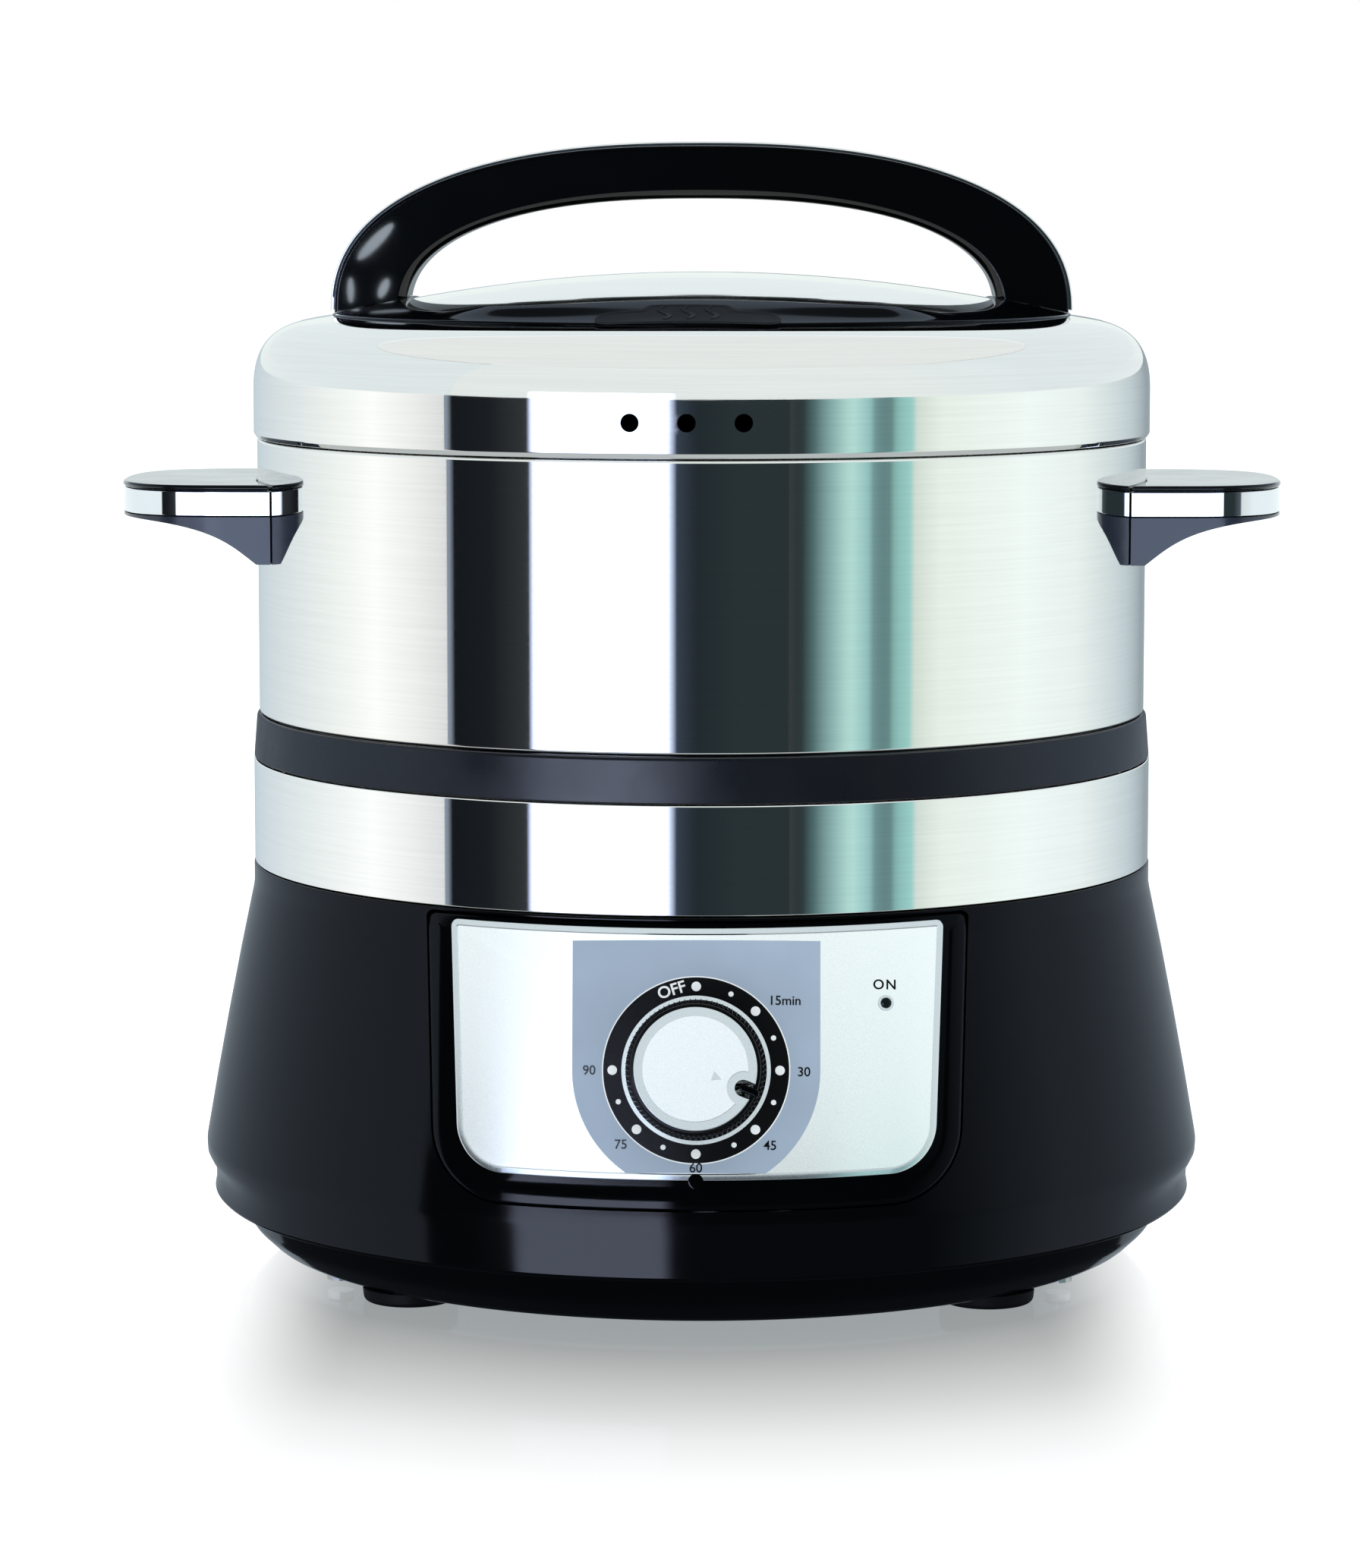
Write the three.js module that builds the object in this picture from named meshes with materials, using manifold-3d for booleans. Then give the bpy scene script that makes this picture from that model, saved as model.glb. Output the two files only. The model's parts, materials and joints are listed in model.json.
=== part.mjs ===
// Electric egg cooker: a round black base with a water reservoir, heater and mechanical timer, a steel
// steamer pot with two side handles, an egg rack inside the pot, and a domed steel lid with an arch handle.
// Millimetres, +Z up. The origin is on the axis of the pot, in the plane the feet stand on; the control
// panel faces -Y and the side handles point along X.

import * as THREE from "three";
import { mergeVertices } from "three/addons/utils/BufferGeometryUtils.js";
import Module from "manifold-3d";

const wasm = await Module();
wasm.setup();

// ---------------------------------------------------------------- driving dimensions
const ROUND = 40; // sides of the large turned parts
const GAP = 0.3; // clearance between pieces that touch

const POT_R = 120.1; // outer radius of the pot wall
const POT_RIM_Z = 222.4; // top of the pot's rolled rim
const COLLAR_TOP_Z = 148.4; // the pot's wall starts just above this
const BAND_R = 121.7; // steel band round the top of the base
const BAND_Z = [108.4, 136.3];
const SHEET = 0.9; // thickness of the formed steel
const PLASTIC = 2.6; // wall of the moulded base parts

const SHELL_TOP_Z = 108.1;
const SHELL_TOP_R = 121.9;
const CONE_TOP_Z = 102; // the housing is upright above this
const CONE_FOOT_Z = 32; // and upright again below this
const SHELL_FOOT_R = 135.5;
const SHELL_BOTTOM_R = 134.7;
const SHELL_BOTTOM_Z = 17.9;
const CONE_BULGE = 0.4; // how far the cone bows outwards at mid height

const TRAY_BOTTOM_Z = 3.8; // underside of the bottom tray
const FOOT_R = 12.5;
const FOOT_AT = [75.5, 73]; // foot centres, X and Y

const PANEL_Z = 70.7; // height of the dial's centre
const PLATE_HALF_W = [60.2, 62.5]; // silver plate, half width at its bottom and at its top
const PLATE_V = [-27.3, 35.3]; // bottom and top of the plate, measured up the slope from the dial
const PLATE_CORNER = 12;
const BEZEL_BORDER = [6.2, 7.6]; // black border at the sides and below
const KNOB_R = 17;
const KNOB_REACH = 16; // how far the knob stands out from the plate
const LAMP_AT = [47.5, 17.2]; // X and up the slope, from the dial
const POINTER_DEG = -111.8; // the pointer's angle from straight up, positive anticlockwise

const LID_R = 121.0;
const LID_EDGE_Z = 223.2;
const DOME_Z = 266.7; // top of the lid's dome
const DOME_RADIUS = 432; // radius of the dome's sphere
const SHOULDER_START_R = 98.5; // the dome turns into the rounded shoulder here
const SHOULDER_END_Z = 236;
const VENT_R = 2.15;
const VENT_Z = 231.7;
const VENT_PITCH = 14.2;
const VENT_OFFSET = -2.5; // the middle vent, from the lid's front

const ARCH_TOP_Z = 301.6; // top of the arch handle, over its bright strip
const ARCH_HALF_SPAN = 99.7;
const ARCH_SPRING_Z = 256; // the arch's curves start at this height
const ARCH_THICK = [15.2, 20.4]; // at the crown and at the legs
const ARCH_POWER = 2.38; // exponent of the arch's superellipse
const ARCH_DEPTH = 25; // along Y
const STRIP_THICK = 1.1;
const STRIP_DEPTH = 21;
const HANDLE_BASE_R = 102.5;
const HANDLE_BASE_HALF_W = 100; // its left and right sides are flush with the arch
const HANDLE_BASE_HOLE = [78, 83]; // half sizes of the rounded opening in the handle's base, X and Y
const HANDLE_BASE_POWER = 3.4;
const HANDLE_BASE_THICK = 1.8;

const SIDE_REACH = 156.2; // tip of a side handle, from the axis
const SIDE_HALF_W = 40;
const SIDE_CORNER = 24;
const SIDE_TOP_Z = 211.3;
const SIDE_COVER = 1.5;
const SIDE_BAND = 6.7;
const SIDE_FOOT_Z = 190.3;

const RESERVOIR_FLOOR_Z = 70;
const RESERVOIR_R = [86, 113.5]; // lower bowl and upper wall
const POT_FLOOR_Z = 131.6; // underside of the perforated floor
const RACK_Z = 160; // underside of the egg plate
const EGGS = 6;
const EGG_HOLE_R = 20;
const EGG_RING_R = 64;

const MAIN_TEETH = 24;
const PINION_TEETH = 12;
const GEAR_MODULE = 0.75;

// ---------------------------------------------------------------- materials
const finish = (color, roughness, metalness) =>
  new THREE.MeshStandardMaterial({ color, roughness, metalness });
const steel = finish(0xd4d6d6, 0.16, 1.0);
const bandSteel = finish(0xcfd3d8, 0.1, 1.0);
const chrome = finish(0xe4e6e8, 0.06, 1.0);
const satinBlack = finish(0x24262b, 0.38, 0.0);
const glossBlack = finish(0x0a0b0e, 0.12, 0.0);
const silverPlate = finish(0xdde3ea, 0.28, 0.8);
const rubber = finish(0x141414, 0.85, 0.0);
const whitePlastic = finish(0xe9e7e0, 0.45, 0.0);
const heaterMetal = finish(0xb9bbbd, 0.35, 0.9);
const castAluminium = finish(0x9c9ea0, 0.5, 0.9);
const silicone = finish(0xa8442e, 0.6, 0.0);
const zincSteel = finish(0xa9adb0, 0.35, 1.0);
const brass = finish(0xb58b3b, 0.35, 1.0);
const phenolic = finish(0x3a2f28, 0.6, 0.0);
const lampGlass = finish(0x2a3030, 0.1, 0.0);
const wireJacket = finish(0xd9d4c7, 0.6, 0.0);

// ---------------------------------------------------------------- solids
// A three.js geometry as a manifold-3d solid, with its degenerate triangles dropped.
function solidOf(geometry) {
  const bare = geometry.index ? geometry.toNonIndexed() : geometry.clone();
  bare.deleteAttribute("normal");
  bare.deleteAttribute("uv");
  const merged = mergeVertices(bare, 1e-4);
  const index = merged.index.array;
  const kept = [];
  for (let i = 0; i < index.length; i += 3) {
    const [a, b, c] = [index[i], index[i + 1], index[i + 2]];
    if (a !== b && b !== c && c !== a) kept.push(a, b, c);
  }
  const vertProperties = merged.attributes.position.array;
  return new wasm.Manifold(new wasm.Mesh({ numProp: 3, vertProperties, triVerts: new Uint32Array(kept) }));
}

function meshOf(name, solid, material) {
  const made = solid.getMesh();
  const geometry = new THREE.BufferGeometry();
  geometry.setAttribute("position", new THREE.BufferAttribute(new Float32Array(made.vertProperties), 3));
  geometry.setIndex(new THREE.BufferAttribute(new Uint32Array(made.triVerts), 1));
  const mesh = new THREE.Mesh(geometry, material);
  mesh.name = name;
  return mesh;
}

// A closed [radius, height] outline turned round +Z.
function turned(outline, sides = ROUND) {
  const area = outline.reduce((sum, [r, z], i) => {
    const [r2, z2] = outline[(i + 1) % outline.length];
    return sum + r * z2 - r2 * z;
  }, 0);
  const ring = area > 0 ? [...outline] : [...outline].reverse();
  ring.push(ring[0]);
  const profile = ring.map(([r, z]) => new THREE.Vector2(r, z));
  return solidOf(new THREE.LatheGeometry(profile, sides).rotateX(Math.PI / 2));
}

const tubeRing = (rIn, rOut, z0, z1, sides = ROUND) =>
  turned([[rIn, z0], [rOut, z0], [rOut, z1], [rIn, z1]], sides);

// A cylinder standing on z0.
function rod(radius, z0, z1, sides = 24) {
  const shape = new THREE.CylinderGeometry(radius, radius, z1 - z0, sides).rotateX(Math.PI / 2);
  return solidOf(shape.translate(0, 0, (z0 + z1) / 2));
}

function block(low, high) {
  const size = high.map((v, i) => v - low[i]);
  return solidOf(new THREE.BoxGeometry(...size).translate(...low.map((v, i) => v + size[i] / 2)));
}

// A flat outline of [x, y] points, or a THREE.Shape, extruded along Z.
function prism(outline, z0, z1, curveSegments = 8) {
  const isList = Array.isArray(outline);
  const shape = isList ? new THREE.Shape(outline.map(([x, y]) => new THREE.Vector2(x, y))) : outline;
  const extruded = new THREE.ExtrudeGeometry(shape, { depth: z1 - z0, bevelEnabled: false, curveSegments });
  return solidOf(extruded.translate(0, 0, z0));
}

// An outline drawn in the XZ plane, extruded along Y and centred on it.
const sidePrism = (outline, depth) => prism(outline, -depth / 2, depth / 2).rotate([90, 0, 0]);

const radians = (degrees) => (degrees * Math.PI) / 180;
const around = (radius, degrees) =>
  [radius * Math.sin(radians(degrees)), -radius * Math.cos(radians(degrees))];
const mirrored = (solid) => solid.mirror([1, 0, 0]);

// Quarter turn of a superellipse, from [half width, 0] up to [0, height], as [x, z] points.
function quarterCurve(halfWidth, height, power, steps) {
  return Array.from({ length: steps + 1 }, (_, i) => {
    const t = (i / steps) * (Math.PI / 2);
    return [halfWidth * Math.cos(t) ** (2 / power), height * Math.sin(t) ** (2 / power)];
  });
}

function roundedBox(x0, x1, halfWidth, corner) {
  const shape = new THREE.Shape();
  shape.moveTo(x0, -halfWidth);
  shape.lineTo(x1 - corner, -halfWidth);
  shape.absarc(x1 - corner, -halfWidth + corner, corner, -Math.PI / 2, 0, false);
  shape.absarc(x1 - corner, halfWidth - corner, corner, 0, Math.PI / 2, false);
  shape.lineTo(x0, halfWidth);
  return shape;
}

// ---------------------------------------------------------------- shared surfaces
// Outer radius of the base housing at a height.
function shellRadius(z) {
  if (z >= CONE_TOP_Z) return SHELL_TOP_R;
  if (z <= CONE_FOOT_Z) {
    return THREE.MathUtils.mapLinear(z, SHELL_BOTTOM_Z, CONE_FOOT_Z, SHELL_BOTTOM_R, SHELL_FOOT_R);
  }
  const t = (z - CONE_FOOT_Z) / (CONE_TOP_Z - CONE_FOOT_Z);
  return SHELL_FOOT_R + (SHELL_TOP_R - SHELL_FOOT_R) * t + 4 * CONE_BULGE * t * (1 - t);
}

const domeHeight = (r) => DOME_Z - (r * r) / (2 * DOME_RADIUS);

// The housing's outer surface from bottom to top, moved out by an offset. It has a corner at each of the
// same heights wherever it is used, so that the layers on it stay parallel.
const CONE_CORNERS = [CONE_FOOT_Z, 56, 80, CONE_TOP_Z];
function shellLine(offset, z0, z1) {
  const heights = [z0, ...CONE_CORNERS.filter((z) => z > z0 + 1 && z < z1 - 1), z1];
  return heights.map((z) => [shellRadius(z) + offset, z]);
}

// A layer that follows the housing's surface between two offsets.
const shellLayer = (inner, outer, z0, z1) =>
  turned([...shellLine(outer, z0, z1), ...shellLine(inner, z0, z1).reverse()]);

// The control panel's frame: X across, Y up the slope, Z out of the panel, origin at the dial's centre.
const SLOPE = Math.atan2(shellRadius(PANEL_Z - 12) - shellRadius(PANEL_Z + 12), 24);
const PANEL_DEG = THREE.MathUtils.radToDeg(Math.PI / 2 - SLOPE);
const PANEL_DEPTH = 36; // the curved panel reaches this far back at its sides
const onPanel = (solid) => solid.rotate([PANEL_DEG, 0, 0]).translate([0, -shellRadius(PANEL_Z), PANEL_Z]);

// ---------------------------------------------------------------- base housing and bottom tray
function sideScoop(grow) {
  const scoop = new THREE.SphereGeometry(1, 16, 8).scale(9.5 + grow, 44 + grow, 14 + grow);
  const right = solidOf(scoop).translate([143.2, 0, 19]);
  return right.add(mirrored(right));
}

function panelOutline(border, below, above) {
  const bottom = PLATE_V[0] - below;
  const top = PLATE_V[1] + above;
  const corner = PLATE_CORNER + border;
  const [low, high] = PLATE_HALF_W.map((w) => w + border);
  const shape = new THREE.Shape();
  shape.moveTo(-low + corner, bottom);
  shape.lineTo(low - corner, bottom);
  shape.absarc(low - corner, bottom + corner, corner, -Math.PI / 2, 0, false);
  shape.lineTo(high, top);
  shape.lineTo(-high, top);
  shape.lineTo(-low, bottom + corner);
  shape.absarc(-low + corner, bottom + corner, corner, Math.PI, 1.5 * Math.PI, false);
  return shape;
}

const GLAND_Z = 29;
const SCREW_POST_R = 110; // distance of the tray's screws from the axis
const SCREW_POST_DEG = [60, 120, 240, 300];
const UPSTAND_R = [119.0, 120.4]; // lips that hold the steel band from inside

function baseHousing() {
  const wall = shellLine(0, SHELL_BOTTOM_Z, SHELL_TOP_Z);
  const outer = turned([[0, SHELL_BOTTOM_Z], ...wall, [0, SHELL_TOP_Z]]);
  const inner = turned([
    [0, SHELL_BOTTOM_Z - 1],
    ...shellLine(-PLASTIC, SHELL_BOTTOM_Z - 1, SHELL_TOP_Z - PLASTIC),
    [0, SHELL_TOP_Z - PLASTIC],
  ]);
  let shell = outer.subtract(sideScoop(0)).subtract(inner.subtract(sideScoop(PLASTIC)));
  shell = shell.subtract(rod(114.6, SHELL_TOP_Z - PLASTIC - 1, SHELL_TOP_Z + 1, ROUND));
  const upstand = tubeRing(UPSTAND_R[0], UPSTAND_R[1], SHELL_TOP_Z - 1, SHELL_TOP_Z + 9);
  shell = shell.add(upstand);
  const window = panelOutline(BEZEL_BORDER[0] + 0.4, BEZEL_BORDER[1] + 0.4, 0.6);
  const opening = onPanel(prism(window, -PANEL_DEPTH, 9));
  shell = shell.subtract(opening);
  shell = shell.subtract(rod(6.4, 125, 145, 16).rotate([-90, 0, 0]).translate([0, 0, GLAND_Z]));
  for (const angle of SCREW_POST_DEG) {
    const post = rod(4.4, TRAY_BOTTOM_Z + 2.8, 52, 12).translate([0, -SCREW_POST_R, 0]);
    const web = block([-1.5, -shellRadius(52) + 1.2, 24], [1.5, -SCREW_POST_R, 52]);
    const bore = rod(1.8, 0, 40, 12).translate([0, -SCREW_POST_R, 0]);
    shell = shell.add(post.add(web).subtract(bore).rotate([0, 0, angle]));
  }
  return shell;
}

function bottomTray() {
  const wall = 2.2;
  const outline = [
    [0, TRAY_BOTTOM_Z],
    [112, TRAY_BOTTOM_Z],
    [118.5, TRAY_BOTTOM_Z + 1.3],
    [123.4, TRAY_BOTTOM_Z + 5.2],
    [126.6, SHELL_BOTTOM_Z],
    [131.0, SHELL_BOTTOM_Z + 0.2],
    [131.0, SHELL_BOTTOM_Z + 2.2],
    [124.2, SHELL_BOTTOM_Z + 2.2],
    [120.5, TRAY_BOTTOM_Z + 5.6],
    [114, TRAY_BOTTOM_Z + wall],
    [0, TRAY_BOTTOM_Z + wall],
  ];
  let tray = turned(outline);
  for (const [sx, sy] of [[1, 1], [1, -1], [-1, 1], [-1, -1]]) {
    tray = tray.subtract(rod(3, 0, 20, 12).translate([sx * FOOT_AT[0], sy * FOOT_AT[1], 0]));
  }
  for (const angle of SCREW_POST_DEG) {
    tray = tray.subtract(rod(2.1, 0, 20, 12).translate([0, -SCREW_POST_R, 0]).rotate([0, 0, angle]));
  }
  const vent = prism(slotShape(11, 3), 0, 10, 3);
  for (const x of [-20, 0, 20]) tray = tray.subtract(vent.translate([x, 55, 0]));
  return tray;
}

// A slot with round ends, drawn along Y.
function slotShape(halfLength, radius) {
  const shape = new THREE.Shape();
  shape.absarc(0, halfLength - radius, radius, 0, Math.PI, false);
  shape.absarc(0, -halfLength + radius, radius, Math.PI, 2 * Math.PI, false);
  return shape;
}

// A rubber foot with a stem that presses through the tray's floor.
function foot() {
  const top = TRAY_BOTTOM_Z - GAP;
  return turned(
    [
      [0, 0],
      [FOOT_R - 1.6, 0],
      [FOOT_R - 0.3, 1],
      [FOOT_R, top],
      [2.6, top],
      [2.6, TRAY_BOTTOM_Z + 4],
      [0, TRAY_BOTTOM_Z + 4],
    ],
    16,
  );
}

// A pan-head screw with its head below z = 0 and its shank above it.
const screw = (headR, headH, shankR, length) => rod(headR, -headH, 0, 12).add(rod(shankR, -0.1, length, 8));

// ---------------------------------------------------------------- steel band, collar and reservoir
const steelBand = () => tubeRing(BAND_R - SHEET, BAND_R, BAND_Z[0], BAND_Z[1]);

function collarRing() {
  const shelf = COLLAR_TOP_Z - 6.2;
  return turned([
    [BAND_R - 0.05, BAND_Z[1] + GAP],
    [BAND_R - 0.6, COLLAR_TOP_Z - 7],
    [BAND_R - 0.9, COLLAR_TOP_Z - 1.3],
    [BAND_R - 1.5, COLLAR_TOP_Z - 0.3],
    [BAND_R - 2.4, COLLAR_TOP_Z],
    [118.3, COLLAR_TOP_Z],
    [118.0, shelf],
    [112.2, shelf],
    [112.2, shelf - 2],
    [UPSTAND_R[0], shelf - 2],
    [UPSTAND_R[0], BAND_Z[1] - 9],
    [UPSTAND_R[1], BAND_Z[1] - 9],
    [UPSTAND_R[1], BAND_Z[1] + GAP],
  ]);
}

// The water bowl: an upper wall inside the band, stepping in to a smaller bowl that clears the timer.
function waterReservoir() {
  const [low, high] = RESERVOIR_R;
  const wall = 2;
  const rim = COLLAR_TOP_Z - 8.5;
  return turned([
    [34.5, RESERVOIR_FLOOR_Z],
    [low, RESERVOIR_FLOOR_Z],
    [low, 99],
    [high, 112],
    [high, rim - 2],
    [118.4, rim - 2],
    [118.4, rim],
    [high - wall, rim],
    [high - wall, 113],
    [low - wall, 100],
    [low - wall, RESERVOIR_FLOOR_Z + 2.5],
    [34.5, RESERVOIR_FLOOR_Z + 2.5],
  ]);
}

// ---------------------------------------------------------------- heater
const HEATER_FLANGE_Z = RESERVOIR_FLOOR_Z + 4.6;
const heatingPlate = () =>
  turned(
    [
      [0, HEATER_FLANGE_Z - 10],
      [33.6, HEATER_FLANGE_Z - 10],
      [33.6, HEATER_FLANGE_Z],
      [41, HEATER_FLANGE_Z],
      [41, HEATER_FLANGE_Z + 1.5],
      [30, HEATER_FLANGE_Z + 2.4],
      [26, HEATER_FLANGE_Z + 5],
      [0, HEATER_FLANGE_Z + 6],
    ],
    32,
  );
const heaterSeal = () => tubeRing(34.6, 40, RESERVOIR_FLOOR_Z + 2.8, HEATER_FLANGE_Z - GAP, 32);
const heaterClamp = () => tubeRing(34.0, 44, RESERVOIR_FLOOR_Z - 3.2, RESERVOIR_FLOOR_Z - GAP, 32);

// A sheathed element bent into a three-quarter ring, lying against the plate's underside.
function heatingElement() {
  const bend = new THREE.CatmullRomCurve3(
    Array.from({ length: 13 }, (_, i) => {
      const [x, y] = around(24, 45 + (270 * i) / 12);
      return new THREE.Vector3(x, y, HEATER_FLANGE_Z - 10 - GAP - 3.3);
    }),
  );
  const section = new THREE.Shape();
  section.absarc(0, 0, 3.2, 0, 2 * Math.PI, false);
  return solidOf(new THREE.ExtrudeGeometry(section, { steps: 16, extrudePath: bend, curveSegments: 4 }));
}
const thermostat = () => rod(8, HEATER_FLANGE_Z - 22, HEATER_FLANGE_Z - 10 - GAP, 20);
const thermalFuse = () => {
  const barrel = rod(2.4, -8, 8, 12).rotate([0, 90, 0]);
  return barrel.add(rod(0.8, -14, 14, 8).rotate([0, 90, 0])).translate([0, 14.2, HEATER_FLANGE_Z - 13]);
};

// ---------------------------------------------------------------- control panel
const panelBezel = () => {
  const sheet = shellLayer(-2.7, -0.5, PANEL_Z - 40, SHELL_TOP_Z - 1.2);
  const holes = rod(4.2, -9, 9, 16).add(rod(2.6, -20, 9, 12).translate([...LAMP_AT, 0]));
  const outline = onPanel(prism(panelOutline(...BEZEL_BORDER, 0.2), -PANEL_DEPTH, 9));
  return sheet.intersect(outline).subtract(onPanel(holes));
};
const panelPlate = () => {
  const sheet = shellLayer(-0.2, 0.6, PANEL_Z - 40, SHELL_TOP_Z - 1.6);
  const holes = rod(4.2, -9, 9, 16).add(rod(1.7, -20, 9, 12).translate([...LAMP_AT, 0]));
  return sheet.intersect(onPanel(prism(panelOutline(0, 0, 0), -PANEL_DEPTH, 9))).subtract(onPanel(holes));
};

// Depth of the curved panel below its tangent plane at the dial, at a distance X from the middle.
const panelSag = (x) => shellRadius(PANEL_Z) - Math.sqrt(shellRadius(PANEL_Z) ** 2 - x * x);

function lampLens() {
  const sag = panelSag(LAMP_AT[0]);
  const lens = rod(1.4, -sag - 6, -sag + 0.9, 12).add(rod(2.3, -sag - 6, -sag - 2.6, 12));
  return onPanel(lens.translate([...LAMP_AT, 0]));
}
function lampBody() {
  const sag = panelSag(LAMP_AT[0]);
  return onPanel(rod(3.4, -sag - 18, -sag - 6.3, 12).translate([...LAMP_AT, 0]));
}

// ---------------------------------------------------------------- knob and timer, in the panel's frame
function knobSkirt() {
  const skirt = turned(
    [
      [2.5, 2.2],
      [KNOB_R, 2.2],
      [KNOB_R, 7.5],
      [KNOB_R - 1.2, KNOB_REACH - 1.4],
      [2.5, KNOB_REACH - 1.4],
    ],
    36,
  );
  const pointer = block([-1.5, KNOB_R - 7, KNOB_REACH - 1.5], [1.5, KNOB_R - 1.3, KNOB_REACH - 0.1]);
  return skirt.add(pointer.rotate([0, 0, POINTER_DEG]));
}
function knobCap() {
  const cap = rod(KNOB_R - 1.8, KNOB_REACH - 1.1, KNOB_REACH, 36);
  const notch = rod(2.6, KNOB_REACH - 2, KNOB_REACH + 1, 16).translate([0, KNOB_R - 5.6, 0]);
  const slot = block([-2, KNOB_R - 5.6, KNOB_REACH - 2], [2, KNOB_R, KNOB_REACH + 1]);
  return cap.subtract(notch.add(slot).rotate([0, 0, POINTER_DEG]));
}
const TIMER_BACK = -30; // rear of the timer's case
const timerShaft = () => rod(2.2, TIMER_BACK + 2.4, KNOB_REACH - 1.8, 12);

// A spur gear with straight-flanked teeth, one tooth centred on +Y.
function gear(teeth, z0, z1, boreR) {
  const pitch = (teeth * GEAR_MODULE) / 2;
  const [root, tip] = [pitch - 0.62 * GEAR_MODULE * 1.6, pitch + 0.78 * GEAR_MODULE];
  const step = (2 * Math.PI) / teeth;
  const outline = [];
  for (let i = 0; i < teeth; i++) {
    for (const [radius, share] of [[root, -0.3], [tip, -0.1], [tip, 0.1], [root, 0.3]]) {
      const angle = (i + share) * step;
      outline.push([radius * Math.sin(angle), radius * Math.cos(angle)]);
    }
  }
  return prism(outline.reverse(), z0, z1).subtract(rod(boreR, z0 - 1, z1 + 1, 12));
}
const GEAR_CENTRES = (GEAR_MODULE * (MAIN_TEETH + PINION_TEETH)) / 2 + 0.12;
const GEAR_Z = [-15, -12];
const mainGear = () => gear(MAIN_TEETH, GEAR_Z[0], GEAR_Z[1], 2.5);
// The pinion hangs below the main gear, turned so that a gap faces the main gear's lowest tooth.
function pinionArbor() {
  const wheel = gear(PINION_TEETH, GEAR_Z[0], GEAR_Z[1], 1).rotate([0, 0, 180 / PINION_TEETH]);
  return wheel.add(rod(1.2, TIMER_BACK + 2.4, -9.9, 10)).translate([0, -GEAR_CENTRES, 0]);
}
function timerCase() {
  const half = 23;
  const box = block([-half, -half, TIMER_BACK], [half, half, -7.5]);
  const room = block([-half + 2, -half + 2, TIMER_BACK + 2], [half - 2, half - 2, -9.5]);
  const openings = rod(2.9, -11, -6, 16).add(block([-8, -half - 1, -24], [8, -half + 3, -18]));
  return box.subtract(room).subtract(openings);
}
const timerBell = () =>
  turned([[0, -31], [18, -31], [20, -35], [18.8, -35], [17.2, -32.2], [0, -32.2]], 24);

// ---------------------------------------------------------------- cord gland and terminal block
// The gland reaches as far back as the knob's top edge reaches forward.
const GLAND_REACH = shellRadius(PANEL_Z) + KNOB_REACH * Math.cos(SLOPE) + (KNOB_R - 1.8) * Math.sin(SLOPE);
function cordGland() {
  const wall = shellRadius(GLAND_Z);
  const body = rod(6.1, wall - 9, wall + 1, 16).add(rod(9, wall + GAP + 0.2, wall + 3, 20));
  const nose = turned([[0, wall + 2.8], [7.4, wall + 2.8], [5.8, GLAND_REACH], [0, GLAND_REACH]], 20);
  const bore = rod(3.9, wall - 12, GLAND_REACH + 2, 12);
  return body.add(nose).subtract(bore).rotate([-90, 0, 0]).translate([0, 0, GLAND_Z]);
}
function terminalBlock() {
  const floor = TRAY_BOTTOM_Z + 2.2 + GAP;
  let body = block([-20, 84, floor], [20, 98, floor + 12]);
  for (const x of [-12, 0, 12]) {
    body = body.subtract(rod(2.4, floor + 5, floor + 20, 10).translate([x, 91, 0]));
  }
  return body;
}

// A lead between two parts, a plain round section along a smooth curve.
function lead(points, radius = 1.3) {
  const path = new THREE.CatmullRomCurve3(points.map((p) => new THREE.Vector3(...p)));
  const section = new THREE.Shape();
  section.absarc(0, 0, radius, 0, 2 * Math.PI, false);
  return solidOf(new THREE.ExtrudeGeometry(section, { steps: 16, extrudePath: path, curveSegments: 3 }));
}

// ---------------------------------------------------------------- steamer pot
function steamerPot() {
  const seat = COLLAR_TOP_Z + GAP;
  const wallIn = POT_R - SHEET;
  const spigot = 111.2;
  const shell = turned([
    [100, POT_FLOOR_Z - 1.3],
    [spigot, POT_FLOOR_Z - 1.3],
    [spigot, COLLAR_TOP_Z - 6.2 + GAP],
    [117.4, COLLAR_TOP_Z - 6.2 + GAP],
    [117.6, seat],
    [POT_R - 0.3, seat],
    [POT_R, seat + 0.8],
    [POT_R, POT_RIM_Z - 1.4],
    [POT_R - 0.7, POT_RIM_Z],
    [POT_R - 1.8, POT_RIM_Z],
    [wallIn - 1, POT_RIM_Z - 1.6],
    [wallIn, POT_RIM_Z - 3],
    [wallIn, seat + 1.2],
    [116.5, seat + 0.9],
    [116.3, COLLAR_TOP_Z - 4.9],
    [spigot - 0.9, COLLAR_TOP_Z - 4.9],
    [spigot - 0.9, POT_FLOOR_Z - GAP],
    [100, POT_FLOOR_Z - GAP],
  ]);
  const holes = handleScrewHoles();
  return shell.subtract(holes).subtract(mirrored(holes));
}

function perforatedFloor() {
  let floor = rod(109.8, POT_FLOOR_Z, POT_FLOOR_Z + 1.1, ROUND);
  for (const [count, radius] of [[6, 34], [12, 72]]) {
    for (let i = 0; i < count; i++) {
      const [x, y] = around(radius, (360 * i) / count);
      floor = floor.subtract(rod(3.5, POT_FLOOR_Z - 1, POT_FLOOR_Z + 3, 8).translate([x, y, 0]));
    }
  }
  return floor;
}

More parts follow.
